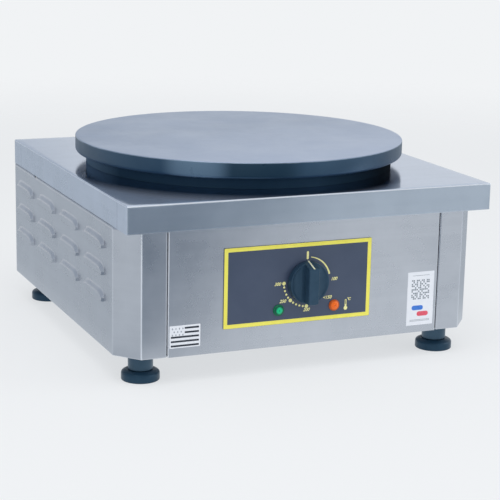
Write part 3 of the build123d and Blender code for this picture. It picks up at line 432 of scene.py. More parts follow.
RIM_H, RIM_W, WEB = 0.0192, 0.0127, 0.012
low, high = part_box("griddle_plate")
plate_r, plate_top = high.x, high.z
rim_low, web_low, rim_in = plate_top - RIM_H, plate_top - WEB, plate_r - RIM_W
profile = rounded([(0.0, plate_top), (plate_r, plate_top), (plate_r, rim_low), (rim_in, rim_low),
                   (rim_in, web_low), (0.0, web_low)], (0.0013, 0.0042, 0.0008, 0.002), steps=8)
flat = np.column_stack((np.linspace(0.0, plate_r - 0.004, 12), np.full(12, plate_top)))
plate = make_piece("griddle_plate_turned", [turned(np.vstack((flat, profile[1:])), segments=256)], 60,
                   cast_iron("plate_iron"), "plate_iron", "case", "griddle_plate")

# The rim and the underside are blue black, with a painted highlight, a broken grey line, along the
# top edge.  The dark patch at the front and the pale one at the front left are painted in the colour
# and stand in for reflections.  A patch is a direction, how far along it the patch starts and is
# full, and a colour.
NAVY = (0.55, 0.80, 1.0, 1.0)  # tint of the black pieces' highlights
DARK_FRONT = ((-0.274, -0.962, 0.0), 0.1925, 0.1985, (0.004, 0.023, 0.047))
PALE_GLEAM = ((-0.600, -0.800, 0.0), 0.1953, 0.2003, (0.120, 0.192, 0.270))
rim_iron, tree, shader = finish_of("rim_iron", Specular_IOR_Level=0.6, Specular_Tint=NAVY)
blued = blend(tree, mottled(tree, 12.0), (0.012, 0.038, 0.078), (0.022, 0.056, 0.104))
for towards, start, full, shade in (DARK_FRONT, PALE_GLEAM):
    blued = blend(tree, ease(tree, measured(tree, towards), start, full), blued, shade)
# Painted highlight: a broken grey line along the turned top edge.
edge = ramp(tree, measured(tree, (0.0, 0.0, 1.0)), plate_top - 0.0014, plate_top - 0.0005)
edge_highlight = number(tree, "MULTIPLY", edge, mottled(tree, 26.0))
feed(shader, Base_Color=blend(tree, edge_highlight, blued, (0.36, 0.44, 0.54)),
     Roughness=mottled(tree, 30.0, 0.26, 0.40))
relief(shader, grained(tree, 1100.0, 0.00004))
lay(rim_iron, plate, rows_of(plate.data.polygons, "normal")[:, 2] < 0.75)

# ---- Heat ring ------------------------------------------------------------------------
# Black enamelled steel ring between the cover and the plate, riveted through its foot.  Its colour is
# paler at the left and darker at the right, which stands in for the fall of the light.
low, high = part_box("heat_ring")
ring_r, ring_low, ring_top = high.x, low.z, high.z
RING_WALL, RING_FOOT_R, RING_SHEET = 0.0015, 0.1795, 0.0012
profile = rounded([(RING_FOOT_R, ring_low), (ring_r, ring_low), (ring_r, ring_top),
                   (ring_r - RING_WALL, ring_top), (ring_r - RING_WALL, ring_low + RING_SHEET),
                   (RING_FOOT_R, ring_low + RING_SHEET)], (0.0003, 0.0007, 0.0007, 0.001))
heat_ring = [turned(profile, segments=256, along=True)]
ACROSS_FRONT = (0.918, -0.397, 0.0)  # from the ring's left to its right, as seen from the front left
ring_black, tree, shader = finish_of("ring_black", Roughness=0.85, Specular_IOR_Level=0.05,
                                     Specular_Tint=NAVY)
shade = blend(tree, mottled(tree, 14.0), (0.020, 0.049, 0.085), (0.029, 0.063, 0.104))
across = measured(tree, ACROSS_FRONT)
shade = blend(tree, ramp(tree, across, -0.135, -0.18), shade, (0.13, 0.21, 0.30))
feed(shader, Base_Color=blend(tree, ramp(tree, across, 0.09, 0.17), shade, (0.002, 0.005, 0.009)))
relief(shader, grained(tree, 500.0, 0.00003))
make_piece("heat_ring_enamelled", heat_ring, 50, ring_black, "ring_black", "case", "heat_ring")

# ---- Top cover ------------------------------------------------------------------------
# Stainless sheet folded down on all four sides.  The front and back skirts end in short tabs round
# the corners, so an upright joint line shows near each corner.  Its opening is turned up.
SHEET = 0.0012
BEND = 0.0016  # radius outside a fold
TAB_Y = 0.1952  # the joint lines lie this far in front of and behind the middle
GROOVE_W = 0.0005
GROOVE_D = 0.0008
COLLAR_H = 0.004
HOLE_R = 0.178
LIP_W = 0.012
EDGE_ROW, SKIRT_ROW, FOLD_ROW = 0.0015, 0.008, 0.0028  # grid rows this far from the skirt's ends
low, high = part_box("top_cover")
half_w, half_d, skirt_low = high.x, high.y, low.z
cover_top = high.z - COLLAR_H


def cover_outline():
    """The cover's outline seen from above, anticlockwise from its front right corner, with arcs of
    the bend radius, the outward direction at each point, and how deep the joint lines cut."""
    joint = np.array((-1.2, -0.5, -0.35, 0.35, 0.5, 1.2)) * GROOVE_W
    ys = np.unique(np.concatenate((np.linspace(-0.94, 0.94, 25) * half_d, -TAB_Y + joint, TAB_Y + joint)))
    xs = np.linspace(-0.96, 0.96, 33) * half_w
    groove = np.where(np.abs(np.abs(ys) - TAB_Y) < 0.4 * GROOVE_W, GROOVE_D, 0.0)
    right = np.column_stack((np.full(len(ys), half_w), ys))
    back = np.column_stack((xs[::-1], np.full(len(xs), half_d)))
    points, outward, cut = [], [], []
    for line, depth, turn in ((right, groove, 0), (back, 0.0 * xs, 90), (-right, groove, 180),
                              (-back, 0.0 * xs, 270)):
        turn = math.radians(turn)
        facing = circle_of(turn + np.radians(np.linspace(0.0, 90.0, 6)))
        corner = (np.array((half_w, half_d)) - BEND) * np.sign(circle_of(turn + math.pi / 4))
        points += [line, corner + BEND * facing]
        outward += [np.tile((round(math.cos(turn)), round(math.sin(turn))), (len(line), 1)), facing]
        cut += [depth, np.zeros(len(facing))]
    return np.vstack(points), np.vstack(outward), np.concatenate(cut)


def folded_cover():
    """Grid with the outline as u and, as v, the way over the sheet: up the skirt, round the bend,
    inwards while the rectangle turns into the opening's circle, up the collar and back underneath."""
    outline, outward, cut = cover_outline()
    circle = circle_of(np.arctan2(outline[:, 1], outline[:, 0]))
    fold = np.radians(np.linspace(0.0, 90.0, 6))
    rows = [(outline - outward * cut[:, None], z)
            for z in (skirt_low, skirt_low + EDGE_ROW,
                      *np.linspace(skirt_low + SKIRT_ROW, cover_top - FOLD_ROW, 3))]
    rows += [(outline - outward * BEND * (1 - math.cos(a)), cover_top - BEND * (1 - math.sin(a)))
             for a in fold]
    edge, rim = outline - outward * BEND, circle * (HOLE_R + SHEET + BEND)
    rows += [(edge * (1 - s) + rim * s, cover_top) for s in np.linspace(0.08, 1.0, 12)]
    rows += [(circle * (HOLE_R + SHEET + BEND * (1 - math.sin(a))), cover_top + BEND * (1 - math.cos(a)))
             for a in fold[1:]]
    rows += [(circle * (HOLE_R + SHEET), high.z), (circle * HOLE_R, high.z),
             (circle * HOLE_R, cover_top - SHEET)]
    inner = outline - outward * SHEET
    rows += [(inner, cover_top - SHEET), (inner, skirt_low)]
    return np.stack([np.column_stack((xy, np.full(len(xy), z))) for xy, z in rows], axis=1)


lip_y = -half_d + np.array((SHEET, LIP_W, LIP_W, SHEET))
lip_z = skirt_low + np.array((0.0, 0.0, SHEET, SHEET))
lip = np.stack([np.column_stack((np.full(4, x), lip_y, lip_z)) for x in (-half_w + SHEET, half_w - SHEET)])
cover_shells = [quads(folded_cover(), around=True, along=True), quads(lip, along=True, caps=True)]

# Brushed grain: fine scratches from the belt as a height, and the slow streaks between them.
brushing, given, result = group_of("brushed_grain", {"Stretch": (1.0, 1.0, 1.0), "Depth": 0.000002},
                                   "Streak", "Height")
stretched = vector(brushing, "MULTIPLY", here(brushing), given["Stretch"])
fine = add(brushing, "ShaderNodeTexNoise", {"Vector": stretched, "Scale": 1.0, "Detail": 2.0,
                                            "Roughness": 0.55})
slow = add(brushing, "ShaderNodeTexNoise", {"Vector": stretched, "Scale": 0.05, "Detail": 5.0,
                                            "Roughness": 0.65})
brushing.links.new(ramp(brushing, slow.outputs["Fac"], 0.3, 0.7), result["Streak"])
brushing.links.new(number(brushing, "MULTIPLY", fine.outputs["Fac"], given["Depth"]), result["Height"])
STREAKS_ALONG_X = (14.0, 1600.0, 1600.0)
STREAKS_LEVEL = (14.0, 14.0, 1600.0)
HIGHLIGHT_METAL = 0.35  # how metallic the steel stays under the painted highlights on folds and edges


def brushed_steel(name, dark, light, roughness=0.28, stretch=STREAKS_LEVEL, depth=0.000005,
                  metallic=lambda tree: 1.0):
    """Brushed stainless steel: colour and roughness follow the streaks and cloudy handling marks, the
    grain is a fine bump, and a vertex attribute lays a painted highlight, pale and less metallic, on
    folds and edges.  metallic makes, in the tree, how metallic the rest is."""
    material, tree, shader = finish_of(name)
    lines = use(tree, brushing, Stretch=stretch, Depth=depth)
    handling = mottled(tree, 22.0, high=0.6)
    shade = blend(tree, lines["Streak"], dark, light)
    shade = blend(tree, handling, shade, [c * 1.12 for c in light])
    edge_highlight = add(tree, "ShaderNodeAttribute", attribute_name="edge_highlight").outputs["Fac"]
    feed(shader, Base_Color=blend(tree, edge_highlight, shade, (0.86, 0.90, 0.96)),
         Metallic=ramp(tree, edge_highlight, 0.0, 1.0, metallic(tree), HIGHLIGHT_METAL),
         Roughness=ramp(tree, handling, 0.0, 1.0, roughness * 0.9, roughness * 1.25))
    relief(shader, lines["Height"])
    return material


def top_metal(tree):
    """How metallic the cover's top is: wholly by the plate, and less from 219 to 254 mm off the middle,
    so that its outer part mirrors less than bare steel would."""
    away = vector(tree, "DISTANCE", here(tree), (0.0, 0.0, cover_top))
    return ramp(tree, away, 0.219, 0.254, 1.0, 0.67)


def paint_highlights(thing, reach, *lines):
    """Vertex attribute of painted highlights: at a distance d from a straight line between two points it
    is the line's strength times 1.25 - 1.25 (d / reach)^2, at most 1, and the strongest line counts."""
    co = rows_of(thing.data.vertices, "co")
    marks = np.zeros(len(co))
    for start, end, strength in lines:
        start, run = np.asarray(start), np.subtract(end, start)
        share = np.clip((co - start) @ run / (run @ run), 0.0, 1.0)
        distance = np.linalg.norm(co - start - share[:, None] * run, axis=1)
        marks = np.maximum(marks, strength * np.clip(1.25 - 1.25 * (distance / reach) ** 2, 0.0, 1.0))
    thing.data.attributes.new("edge_highlight", "FLOAT", "POINT").data.foreach_set("value", marks)


# The cover is one sheet, but its top, ends and front each have a steel of their own: lit and shaded
# copies, with painted light and shade set to the tone that they show from the front left, and the
# front mirrors less than bare steel would.
cover_steel = brushed_steel("cover_steel", (0.36, 0.43, 0.555), (0.40, 0.47, 0.60), 0.12, STREAKS_ALONG_X,
                            0.000004, top_metal)
edge_steel = brushed_steel("cover_side_steel", (0.505, 0.555, 0.645), (0.565, 0.615, 0.71))
front_steel = brushed_steel("cover_front_steel", (0.385, 0.44, 0.51), (0.425, 0.48, 0.55), 0.22,
                            metallic=lambda tree: 0.80)
cover = make_piece("top_cover_folded", cover_shells, 35, cover_steel, "brushed_stainless", "case",
                   "top_cover")
left_front, right_front = (-half_w, -half_d, cover_top), (half_w, -half_d, cover_top)
left_back, right_back = (-half_w, half_d, cover_top), (half_w, half_d, cover_top)
left_foot, right_foot = (-half_w, -half_d, skirt_low), (half_w, -half_d, skirt_low)
# Painted highlights along the cover's edges and folds, strongest along the front top edge.
paint_highlights(cover, 0.0014, (left_front, right_front, 0.9), (right_foot, right_front, 0.6),
    (left_front, left_back, 0.35), (right_front, right_back, 0.6), (left_back, right_back, 0.6),
    (left_foot, right_foot, 0.25))
facing = np.abs(rows_of(cover.data.polygons, "normal"))
lay(edge_steel, cover, facing[:, 0] > 0.8)
lay(front_steel, cover, facing[:, 1] > 0.7)

# ---- Side casings ---------------------------------------------------------------------
# Each side is one folded sheet: a lip at the back, the side with twelve pressed louvres, a slanted
# front corner and a return that meets the front panel.  The louvres open downwards.
LOUVRE_L, LOUVRE_OUT = 0.072, 0.0037
LOUVRE_TOP, LOUVRE_NOSE, LOUVRE_LOW = 0.0095, 0.0005, -0.0055  # heights of its bends and its lip
LOUVRE_Y = -0.1148 + 0.0962 * np.arange(4)
LOUVRE_Z = 0.092 + 0.0303 * np.arange(3)
SLIT = 0.00002  # band of the grid that is left open under a lip
SLIT_MOUTH = 0.0006  # where the lip stands out farther than this
GUARD = 0.0005  # grid lines this far outside a louvre keep the sheet's shading flat
STRAIGHT_Y = (-0.1765, 0.2245)  # the side is straight between its front and rear bends
PLAIN_Y, PLAIN_Z = (-0.174, 0.205, 0.2225), (0.083, 0.170)  # grid lines beside the louvres
RETURN, WALL = 0.015, 0.001
BEND_GAP = 0.0009  # grid lines this far from a bend
TRAY_LIP_X, TRAY_LIP_Y = 0.014, (-0.150, 0.205)
CORNER_X, CORNER_Y = 0.1988, -0.1795
CASE_FRONT = -0.208
CORNER_BEND = 0.0020
NOTCH_Y, NOTCH_R = 0.130, 0.003
SKIRT_GAP = 0.0006
low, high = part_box("left_side_casing")
case_low, case_high, case_rear, seam_x = low.z, skirt_low - SKIRT_GAP, high.y, -high.x


def louvre_height(y, z):
    """How far the side stands out at (y, z).  A louvre's upper bend is a flat arch over its straight
    lower lip: with u from -1 to 1 along it, the arch reaches (1 - u^5)^(1/2.5) of its full height.
    Below the arch the sheet swells as a half cosine to the nose and stays out down to the lip, by
    (1 - (u / 0.965)^100)^(1/2) of the full depth, so its ends are steep."""
    out = np.zeros_like(y)
    for yc in LOUVRE_Y:
        u = np.clip(np.abs(y - yc) / (LOUVRE_L / 2), 0.0, 1.0)
        arch = (1.0 - u ** 5) ** 0.4
        depth = LOUVRE_OUT * np.sqrt(np.clip(1.0 - (u / 0.965) ** 100, 0.0, 1.0))
        for zc in LOUVRE_Z:
            top = LOUVRE_LOW + (LOUVRE_TOP - LOUVRE_LOW) * arch
            nose = LOUVRE_LOW + (LOUVRE_NOSE - LOUVRE_LOW) * arch
            down = np.clip((top - (z - zc)) / np.maximum(top - nose, 1e-6), 0.0, 1.0)
            swell = 0.5 - 0.5 * np.cos(math.pi * down)
            out = np.maximum(out, np.where(z - zc >= LOUVRE_LOW - SLIT / 2, depth * swell, 0.0))
    return out


def guarded(line, gap):
    """Line with a point added that far from both ends of each stretch longer than four gaps, so that
    marks and shading at a fold end beside it."""
    out = [line[:1]]
    for start, end in zip(line, line[1:]):
        length = np.linalg.norm(end - start)
        if length > 4 * gap:
            out.append(start + (end - start) * np.array(((gap,), (length - gap,))) / length)
        out.append(end[None])
    return np.vstack(out)


def casing_sheet():
    """Outer face of the left casing as a grid and the faces to leave out of it.  u follows the folded
    outline seen from above, v goes round the bottom bend and up.  Both lie close together where a
    louvre begins, turns or ends, and the leftover band under each lip is the louvre's opening."""
    along = LOUVRE_L / 2 * np.sin(np.linspace(-1.0, 1.0, 41) * math.pi / 2)
    along = np.concatenate(((-LOUVRE_L / 2 - GUARD,), along, (LOUVRE_L / 2 + GUARD,)))
    notch = NOTCH_Y + NOTCH_R * np.linspace(-1.0, 1.0, 9)
    ys = np.unique(np.concatenate([yc + along for yc in LOUVRE_Y]
                                  + [notch, (STRAIGHT_Y[0], *PLAIN_Y)]))
    steps = np.concatenate(((LOUVRE_LOW - SLIT - GUARD, LOUVRE_LOW - SLIT),
                            np.linspace(LOUVRE_LOW, LOUVRE_TOP, 21), (LOUVRE_TOP + GUARD,)))
    zs = np.sort(np.concatenate([zc + steps for zc in LOUVRE_Z]
                                + [np.linspace(case_low + BEND, PLAIN_Z[0], 4),
                                   (PLAIN_Z[1], case_high - 0.004, case_high)]))
    x = -half_w
    front = guarded(rounded([(x, STRAIGHT_Y[0]), (x, CORNER_Y), (-CORNER_X, CASE_FRONT),
                             (-seam_x, CASE_FRONT), (-seam_x, CASE_FRONT + RETURN)],
                            (CORNER_BEND, CORNER_BEND, BEND), steps=6), BEND_GAP)
    rear = guarded(rounded([(x + RETURN, case_rear), (x, case_rear), (x, STRAIGHT_Y[1])], BEND, steps=5),
                   BEND_GAP)
    line = np.vstack((rear[:-1], np.column_stack((np.full(len(ys), x), ys[::-1])), front[1:]))
    ahead = np.gradient(line, axis=0)
    outward = np.column_stack((ahead[:, 1], -ahead[:, 0])) / np.linalg.norm(ahead, axis=1)[:, None]
    fold = np.radians(np.linspace(90.0, 15.0, 6))
    inset = np.concatenate((BEND * (1 - np.cos(fold)), np.zeros(len(zs))))
    zs = np.concatenate((case_low + BEND * (1 - np.sin(fold)), zs))
    y, z = np.meshgrid(line[:, 1], zs, indexing="ij")
    out = louvre_height(y, z) * (np.abs(line[:, 0] - x) < 1e-9)[:, None] - inset
    bite = NOTCH_R * np.sqrt(np.clip(1.0 - ((y - NOTCH_Y) / NOTCH_R) ** 2, 0.0, 1.0)) * 0.7
    z = np.where(z > case_high - 1e-6, z - bite, z)
    plan = line[:, None] + outward[:, None] * out[:, :, None]
    slit = np.abs(np.diff(zs) - SLIT) < SLIT / 4
    raised = out[:, 1:] > SLIT_MOUTH
    return np.concatenate((plan, z[:, :, None]), axis=-1), raised[:-1] & raised[1:] & slit


def open_quads(points, holes):
    """quads() of a grid without the faces that holes marks."""
    co, faces = quads(points)
    return co, [face for face, hole in zip(faces, holes.ravel()) if not hole]


outer, slits = casing_sheet()
side_steel = brushed_steel("side_steel", (0.485, 0.503, 0.546), (0.54, 0.558, 0.60))
flange = np.stack(np.meshgrid(-half_w + np.linspace(BEND, TRAY_LIP_X, 4), np.linspace(*TRAY_LIP_Y, 12),
                              (case_low,), indexing="ij"), axis=-1)[:, :, 0]
for name, mirror, strength in (("left", 1.0, 1.0), ("right", -1.0, 0.5)):
    shells = [open_quads(outer * (mirror, 1.0, 1.0), slits), quads(flange[:, ::-1] * (mirror, 1.0, 1.0))]
    casing = make_piece(f"{name}_side_casing_pressed", shells, 40, side_steel, "brushed_stainless", "case",
                        f"{name}_side_casing", outward=False)
    if mirror < 0:
        casing.data.flip_normals()
    wall = casing.modifiers.new("sheet", "SOLIDIFY")
    wall.thickness, wall.offset = WALL, -1.0
    bends = {"corner": (-mirror * CORNER_X, CASE_FRONT), "side": (-mirror * half_w, CORNER_Y),
             "rear": (-mirror * half_w, case_rear), "seam": (-mirror * seam_x, CASE_FRONT)}
    foot, head = ({bend: (*plan, z) for bend, plan in bends.items()} for z in (case_low, case_high))
    # Painted highlights along the casing's folds; the front corner's line is twice as strong on the left as
    # on the right.
    paint_highlights(casing, 0.0010, (foot["corner"], head["corner"], strength), (foot["side"], head["side"], 0.25),
        (foot["side"], foot["rear"], 0.5), (foot["side"], foot["corner"], 0.5),
        (foot["corner"], foot["seam"], 0.5), (foot["rear"], head["rear"], 0.5))

# ---- Front and rear panels, floor tray ------------------------------------------------
# Flat sheets with folded edges between the side casings, brushed like them.  The front panel's folds
# by the seams carry a painted highlight, pale and less metallic.  The tray under the case is galvanised.
def dress(material, *nodes):
    """Gives CAD nodes a material."""
    for name in nodes:
        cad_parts[name].data.materials.clear()
        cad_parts[name].data.materials.append(material)


PANEL_EDGE, FOLD_W = 0.1666, 0.0006
panel_steel = brushed_steel("panel_steel", (0.488, 0.507, 0.549), (0.546, 0.563, 0.606))
tree = panel_steel.node_tree
shader = tree.nodes["Principled BSDF"]
# Painted highlight along the front panel's folds by the seams.
aside = number(tree, "ABSOLUTE", measured(tree, (1.0, 0.0, 0.0)))
fold_highlight = ramp(tree, aside, PANEL_EDGE, PANEL_EDGE + FOLD_W, high=0.9)
shade = shader.inputs["Base Color"].links[0].from_socket
feed(shader, Base_Color=blend(tree, fold_highlight, shade, (0.90, 0.93, 0.98)),
     Metallic=ramp(tree, fold_highlight, 0.0, 1.0, 1.0, HIGHLIGHT_METAL))
dress(panel_steel, "front_panel")
dress(side_steel, "rear_panel")
zinc_tray, tree, shader = finish_of("zinc_tray", Metallic=1.0, Roughness=0.42)
flakes = add(tree, "ShaderNodeTexVoronoi", {"Vector": here(tree), "Scale": 130.0}).outputs["Color"]
feed(shader, Base_Color=blend(tree, flakes, (0.36, 0.38, 0.41), (0.52, 0.54, 0.57)))
dress(zinc_tray, "base_tray")

# ---- Case screws ----------------------------------------------------------------------
# Zinc-plated pan-head screws with cross recesses: ten from below into the tray and six through the
# rear lips.
def clouded(name, dark, light, fineness, rough=None, grain=None, **sockets):
    """Finish that is cloudy between two colours.  rough gives the clouds of its roughness (fineness,
    low, high) and grain its skin (fineness, depth)."""
    material, tree, shader = finish_of(name, **sockets)
    feed(shader, Base_Color=blend(tree, mottled(tree, fineness), dark, light))
    if rough:
        feed(shader, Roughness=mottled(tree, *rough))
    if grain:
        relief(shader, grained(tree, *grain))
    return material


HEAD_R, HEAD_H = 0.0036, 0.0019
CROSS_R, CROSS_W, CROSS_D = 0.0021, 0.00045, 0.0012
SHANK_R, SHANK_L, SHANK_TIP = 0.0019, 0.0072, 0.0008


def cross_radius(angle, reach, half):
    """Outline of a cross seen from its centre: each arm is 2 * half wide and reaches out so far, so
    the radius is the larger of half / |sin a| and half / |cos a|, but at most reach."""
    arm = half / np.maximum(np.minimum(np.abs(np.sin(angle)), np.abs(np.cos(angle))), 1e-9)
    return np.minimum(arm, reach)


def lathe(rows, origin, axis, **closed):
    """ringed() surface from rows of (radius at each station, height)."""
    return ringed(np.stack([r for r, _ in rows], 1), np.array([h for _, h in rows]), origin, axis, **closed)


def screw(seat, away):
    """Pan head and shank: rows go from the recess's floor up its walls, over the crown and down."""
    cross = cross_radius(stations(64), CROSS_R, CROSS_W)
    rows = [(0.0 * cross, HEAD_H - CROSS_D), (cross * 0.75, HEAD_H - CROSS_D), (cross, HEAD_H - 0.0001)]
    rows += [(np.maximum(cross + 0.0001, r), h)
             for r, h in ((0.0, HEAD_H), (HEAD_R * 0.68, HEAD_H), (HEAD_R * 0.86, HEAD_H * 0.86))]
    rows += [(np.full(64, r), h)
             for r, h in ((HEAD_R * 0.97, HEAD_H * 0.62), (HEAD_R, HEAD_H * 0.35), (HEAD_R, 0.0),
                          (SHANK_R, 0.0), (SHANK_R, -SHANK_L), (0.0, -SHANK_L - SHANK_TIP))]
    return lathe(rows, seat, away)


BASE_SCREW_X, BASE_SCREW_Y = 0.2146, (-0.120, 0.030, 0.165)
FRONT_SCREW_X, FRONT_SCREW_IN, TRAY_SCREW = 0.090, 0.009, (0.120, 0.2028)
REAR_SCREW_X, REAR_SCREW_Z = 0.214, (0.052, 0.105, 0.158)
screw_zinc = clouded("screw_zinc", (0.50, 0.52, 0.55), (0.64, 0.65, 0.66), 160.0, (300.0, 0.24, 0.38),
                     Metallic=1.0)
tray_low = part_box("base_tray")[0].z
below = [(side * BASE_SCREW_X, y, case_low) for side in (-1, 1) for y in BASE_SCREW_Y]
below += [(side * FRONT_SCREW_X, CASE_FRONT + FRONT_SCREW_IN, case_low) for side in (-1, 1)]
below += [(side * TRAY_SCREW[0], TRAY_SCREW[1], tray_low) for side in (-1, 1)]
behind = [(side * REAR_SCREW_X, case_rear, z) for side in (-1, 1) for z in REAR_SCREW_Z]
for name, seats, away in (("base", below, (0, 0, -1)), ("rear", behind, (0, 1, 0))):
    make_piece(f"{name}_screws_crossed", [screw(seat, away) for seat in seats], 35, screw_zinc,
               "screw_steel", "case", f"{name}_screws")

# ---- Control plate --------------------------------------------------------------------
# Aluminium plate, anodised slate blue and screen-printed in yellow: a frame round its edge and the
# dial's scale.  It is glued to the front panel, and the ink stands a little proud.
PLATE_CORNER, PLATE_SHEET = 0.001, 0.001
FRAME_W, FRAME_GAP = 0.0047, 0.0002
INK = 0.00006  # how far the ink stands proud
low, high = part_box("fascia_plate")
fascia_low, fascia_high = np.array((low.x, low.z)), np.array((high.x, high.z))
fascia_front = low.y
DIAL = np.array((-0.0014, 0.1055))


def rectangle(low, high, corner=0.0):
    """Closed 2-D outline of a rectangle between two corners, its own corners rounded."""
    (x0, z0), (x1, z1) = low, high
    middle = (x0 + x1) / 2
    if corner <= 0:
        return np.array(((x0, z0), (x1, z0), (x1, z1), (x0, z1)))
    return rounded([(middle, z0), (x1, z0), (x1, z1), (x0, z1), (x0, z0), (middle, z0)], corner, 4)[:-1]


def circle_at(middle, radius):
    """Closed 2-D circle."""
    return np.asarray(middle) + radius * circle_of(stations(28))


def shell_of(data, front, depth):
    """Points and faces of a flat drawing, stood up on a front face: drawn x stays x, drawn y becomes
    height z, and the drawing's thickness points to the viewer."""
    mesh = bpy.data.meshes.new_from_object(bpy.data.objects.new("drawing", data))
    x, height, out = rows_of(mesh.vertices, "co").T
    faces = [list(polygon.vertices) for polygon in mesh.polygons]
    bpy.data.meshes.remove(mesh)
    return np.column_stack((x, front - out - depth / 2, height)), faces


def printed(outlines, front, depth=INK):
    """Flat ink, plate or film with the given closed outlines; an outline within another is a hole."""
    curve = bpy.data.curves.new("drawing", "CURVE")
    curve.dimensions, curve.fill_mode, curve.extrude = "2D", "BOTH", depth / 2
    for outline in outlines:
        spline = curve.splines.new("POLY")
        spline.points.add(len(outline) - 1)
        spline.points.foreach_set("co", np.column_stack((outline, np.zeros((len(outline), 2)))).ravel())
        spline.use_cyclic_u = True
    return shell_of(curve, front, depth)


def figures(text, middle, height, front):
    """Slanted printed figures of a given height, centred on a point.  The typeface's figures are 0.69
    of its size, and the ink runs out a little."""
    curve = bpy.data.curves.new("figures", "FONT")
    curve.body = text
    curve.size = height / 0.69
    curve.shear, curve.offset, curve.extrude = 0.35, 2 * INK, INK / 2
    curve.align_x, curve.align_y = "CENTER", "CENTER"
    co, faces = shell_of(curve, front, INK)
    return co + (middle[0], 0.0, middle[1]), faces


def on_dial(clock, radius):
    """2-D place at a clockwise angle in degrees from the top of the dial."""
    return DIAL + np.asarray(radius)[..., None] * circle_of(np.radians(clock))[..., ::-1]


fascia = printed([rectangle(fascia_low, fascia_high, PLATE_CORNER)], fascia_front + PLATE_SHEET,
                 PLATE_SHEET)
fascia_slate = clouded("fascia_slate", (0.046, 0.068, 0.122), (0.058, 0.082, 0.140), 24.0,
                       grain=(1500.0, 0.00002), Roughness=0.38, Specular_IOR_Level=0.5)
make_piece("control_plate", [fascia], 30, fascia_slate, "fascia_print", "case", "fascia_plate")

frame_ink = printed([rectangle(fascia_low + FRAME_GAP, fascia_high - FRAME_GAP, PLATE_CORNER),
                     rectangle(fascia_low + FRAME_W, fascia_high - FRAME_W)], fascia_front)
ink_yellow = clouded("ink_yellow", (0.93, 0.85, 0.10), (1.0, 0.93, 0.15), 60.0, grain=(2500.0, 0.00001),
                     Roughness=0.42)
make_piece("control_plate_frame", [frame_ink], 30, ink_yellow, "fascia_print", "case")

# The scale: an upright stroke for off, an arc that thickens as it turns, three big dots with four
# small ones between each pair, five figures, and a thermometer with its degree sign.
SCALE_R = 0.0286
STROKE_HALF, STROKE_LOW, STROKE_HIGH = 0.0013, 0.0260, 0.0354
BIG_DOT, SMALL_DOT = 0.00215, 0.00125
FIGURE_H, DEGREE_H = 0.0036, 0.0030
stroke = rectangle(DIAL + (-STROKE_HALF, STROKE_LOW), DIAL + (STROKE_HALF, STROKE_HIGH), 0.0012)
sweep_to = np.linspace(8.0, 76.0, 24)
half_ink = np.interp(sweep_to, (8.0, 30.0, 76.0), (0.00035, 0.0007, 0.0010))
arc = np.vstack((on_dial(sweep_to, SCALE_R + half_ink), on_dial(sweep_to[::-1], SCALE_R - half_ink[::-1])))
dots = [circle_at(on_dial(clock, SCALE_R), BIG_DOT if clock % 45 == 0 else SMALL_DOT)
        for clock in range(180, 271, 9)]
numbers = {"300": (-0.0380, 0.1052), "250": (-0.0313, 0.0848), "200": (-0.0016, 0.0726),
           "<150": (0.0242, 0.0849), "100": (0.0322, 0.1061)}
BULB = np.array((0.0483, 0.0704))
BULB_R, STEM_R, STEM_H, HOLLOW_HALF = 0.0023, 0.0011, 0.0092, 0.00045
flare = math.asin(STEM_R / BULB_R)
below_neck = np.linspace(flare, 2 * math.pi - flare, 24)
above_neck = np.linspace(math.pi / 2, -math.pi / 2, 9)
bulb = BULB_R * circle_of(below_neck)[:, ::-1]
stem = (0.0, STEM_H) + STEM_R * circle_of(-above_neck)[:, ::-1]
hollow = rectangle(BULB + (-HOLLOW_HALF, 0.0042), BULB + (HOLLOW_HALF, STEM_H + 0.0003), 0.0004)
scale = [printed([outline], fascia_front) for outline in (stroke, arc, *dots)]
scale += [figures(text, middle, FIGURE_H, fascia_front) for text, middle in numbers.items()]
scale += [printed([BULB + np.vstack((bulb, stem)), hollow], fascia_front),
          figures("°C", (0.0518, 0.0806), DEGREE_H, fascia_front)]
ink_pale = clouded("ink_pale_yellow", (0.91, 0.865, 0.30), (0.965, 0.93, 0.43), 90.0,
                   grain=(2500.0, 0.00001), Roughness=0.42)
make_piece("dial_scale", scale, 30, ink_pale, "fascia_print", "case")

# ---- Control knob ---------------------------------------------------------------------
# Moulded plastic knob: a round skirt, two dished faces and a grip bar between them.  The bar's upper
# end slopes back to the scale and carries the cream pointer line.
KNOB_R, SKIRT_R = 0.0238, 0.0244
FACE_R = 0.0234
SKIRT_H = 0.0075
BAR_W, BAR_END = 0.0125, 0.0230
KNOB_H = 0.0185
SLOPE_TOP, SLOPE_FOOT = 0.0188, 0.0249
BAR_ROUND = 0.0009
DISH_X, DISH_R, DISH_LOW = 0.0165, 0.0140, 0.0063
FACE_RIM = 0.0212
BORE_R, BORE_H, HOLLOW_OUT, HOLLOW_IN, HOLLOW_H = 0.00305, 0.014, 0.0195, 0.0065, 0.002
low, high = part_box("control_knob")
knob_back = high.y


def slope_height(y):
    """Height of the sloping cut at y: it falls evenly from the bar's top to the foot."""
    return KNOB_H * (SLOPE_FOOT - y) / (SLOPE_FOOT - SLOPE_TOP)


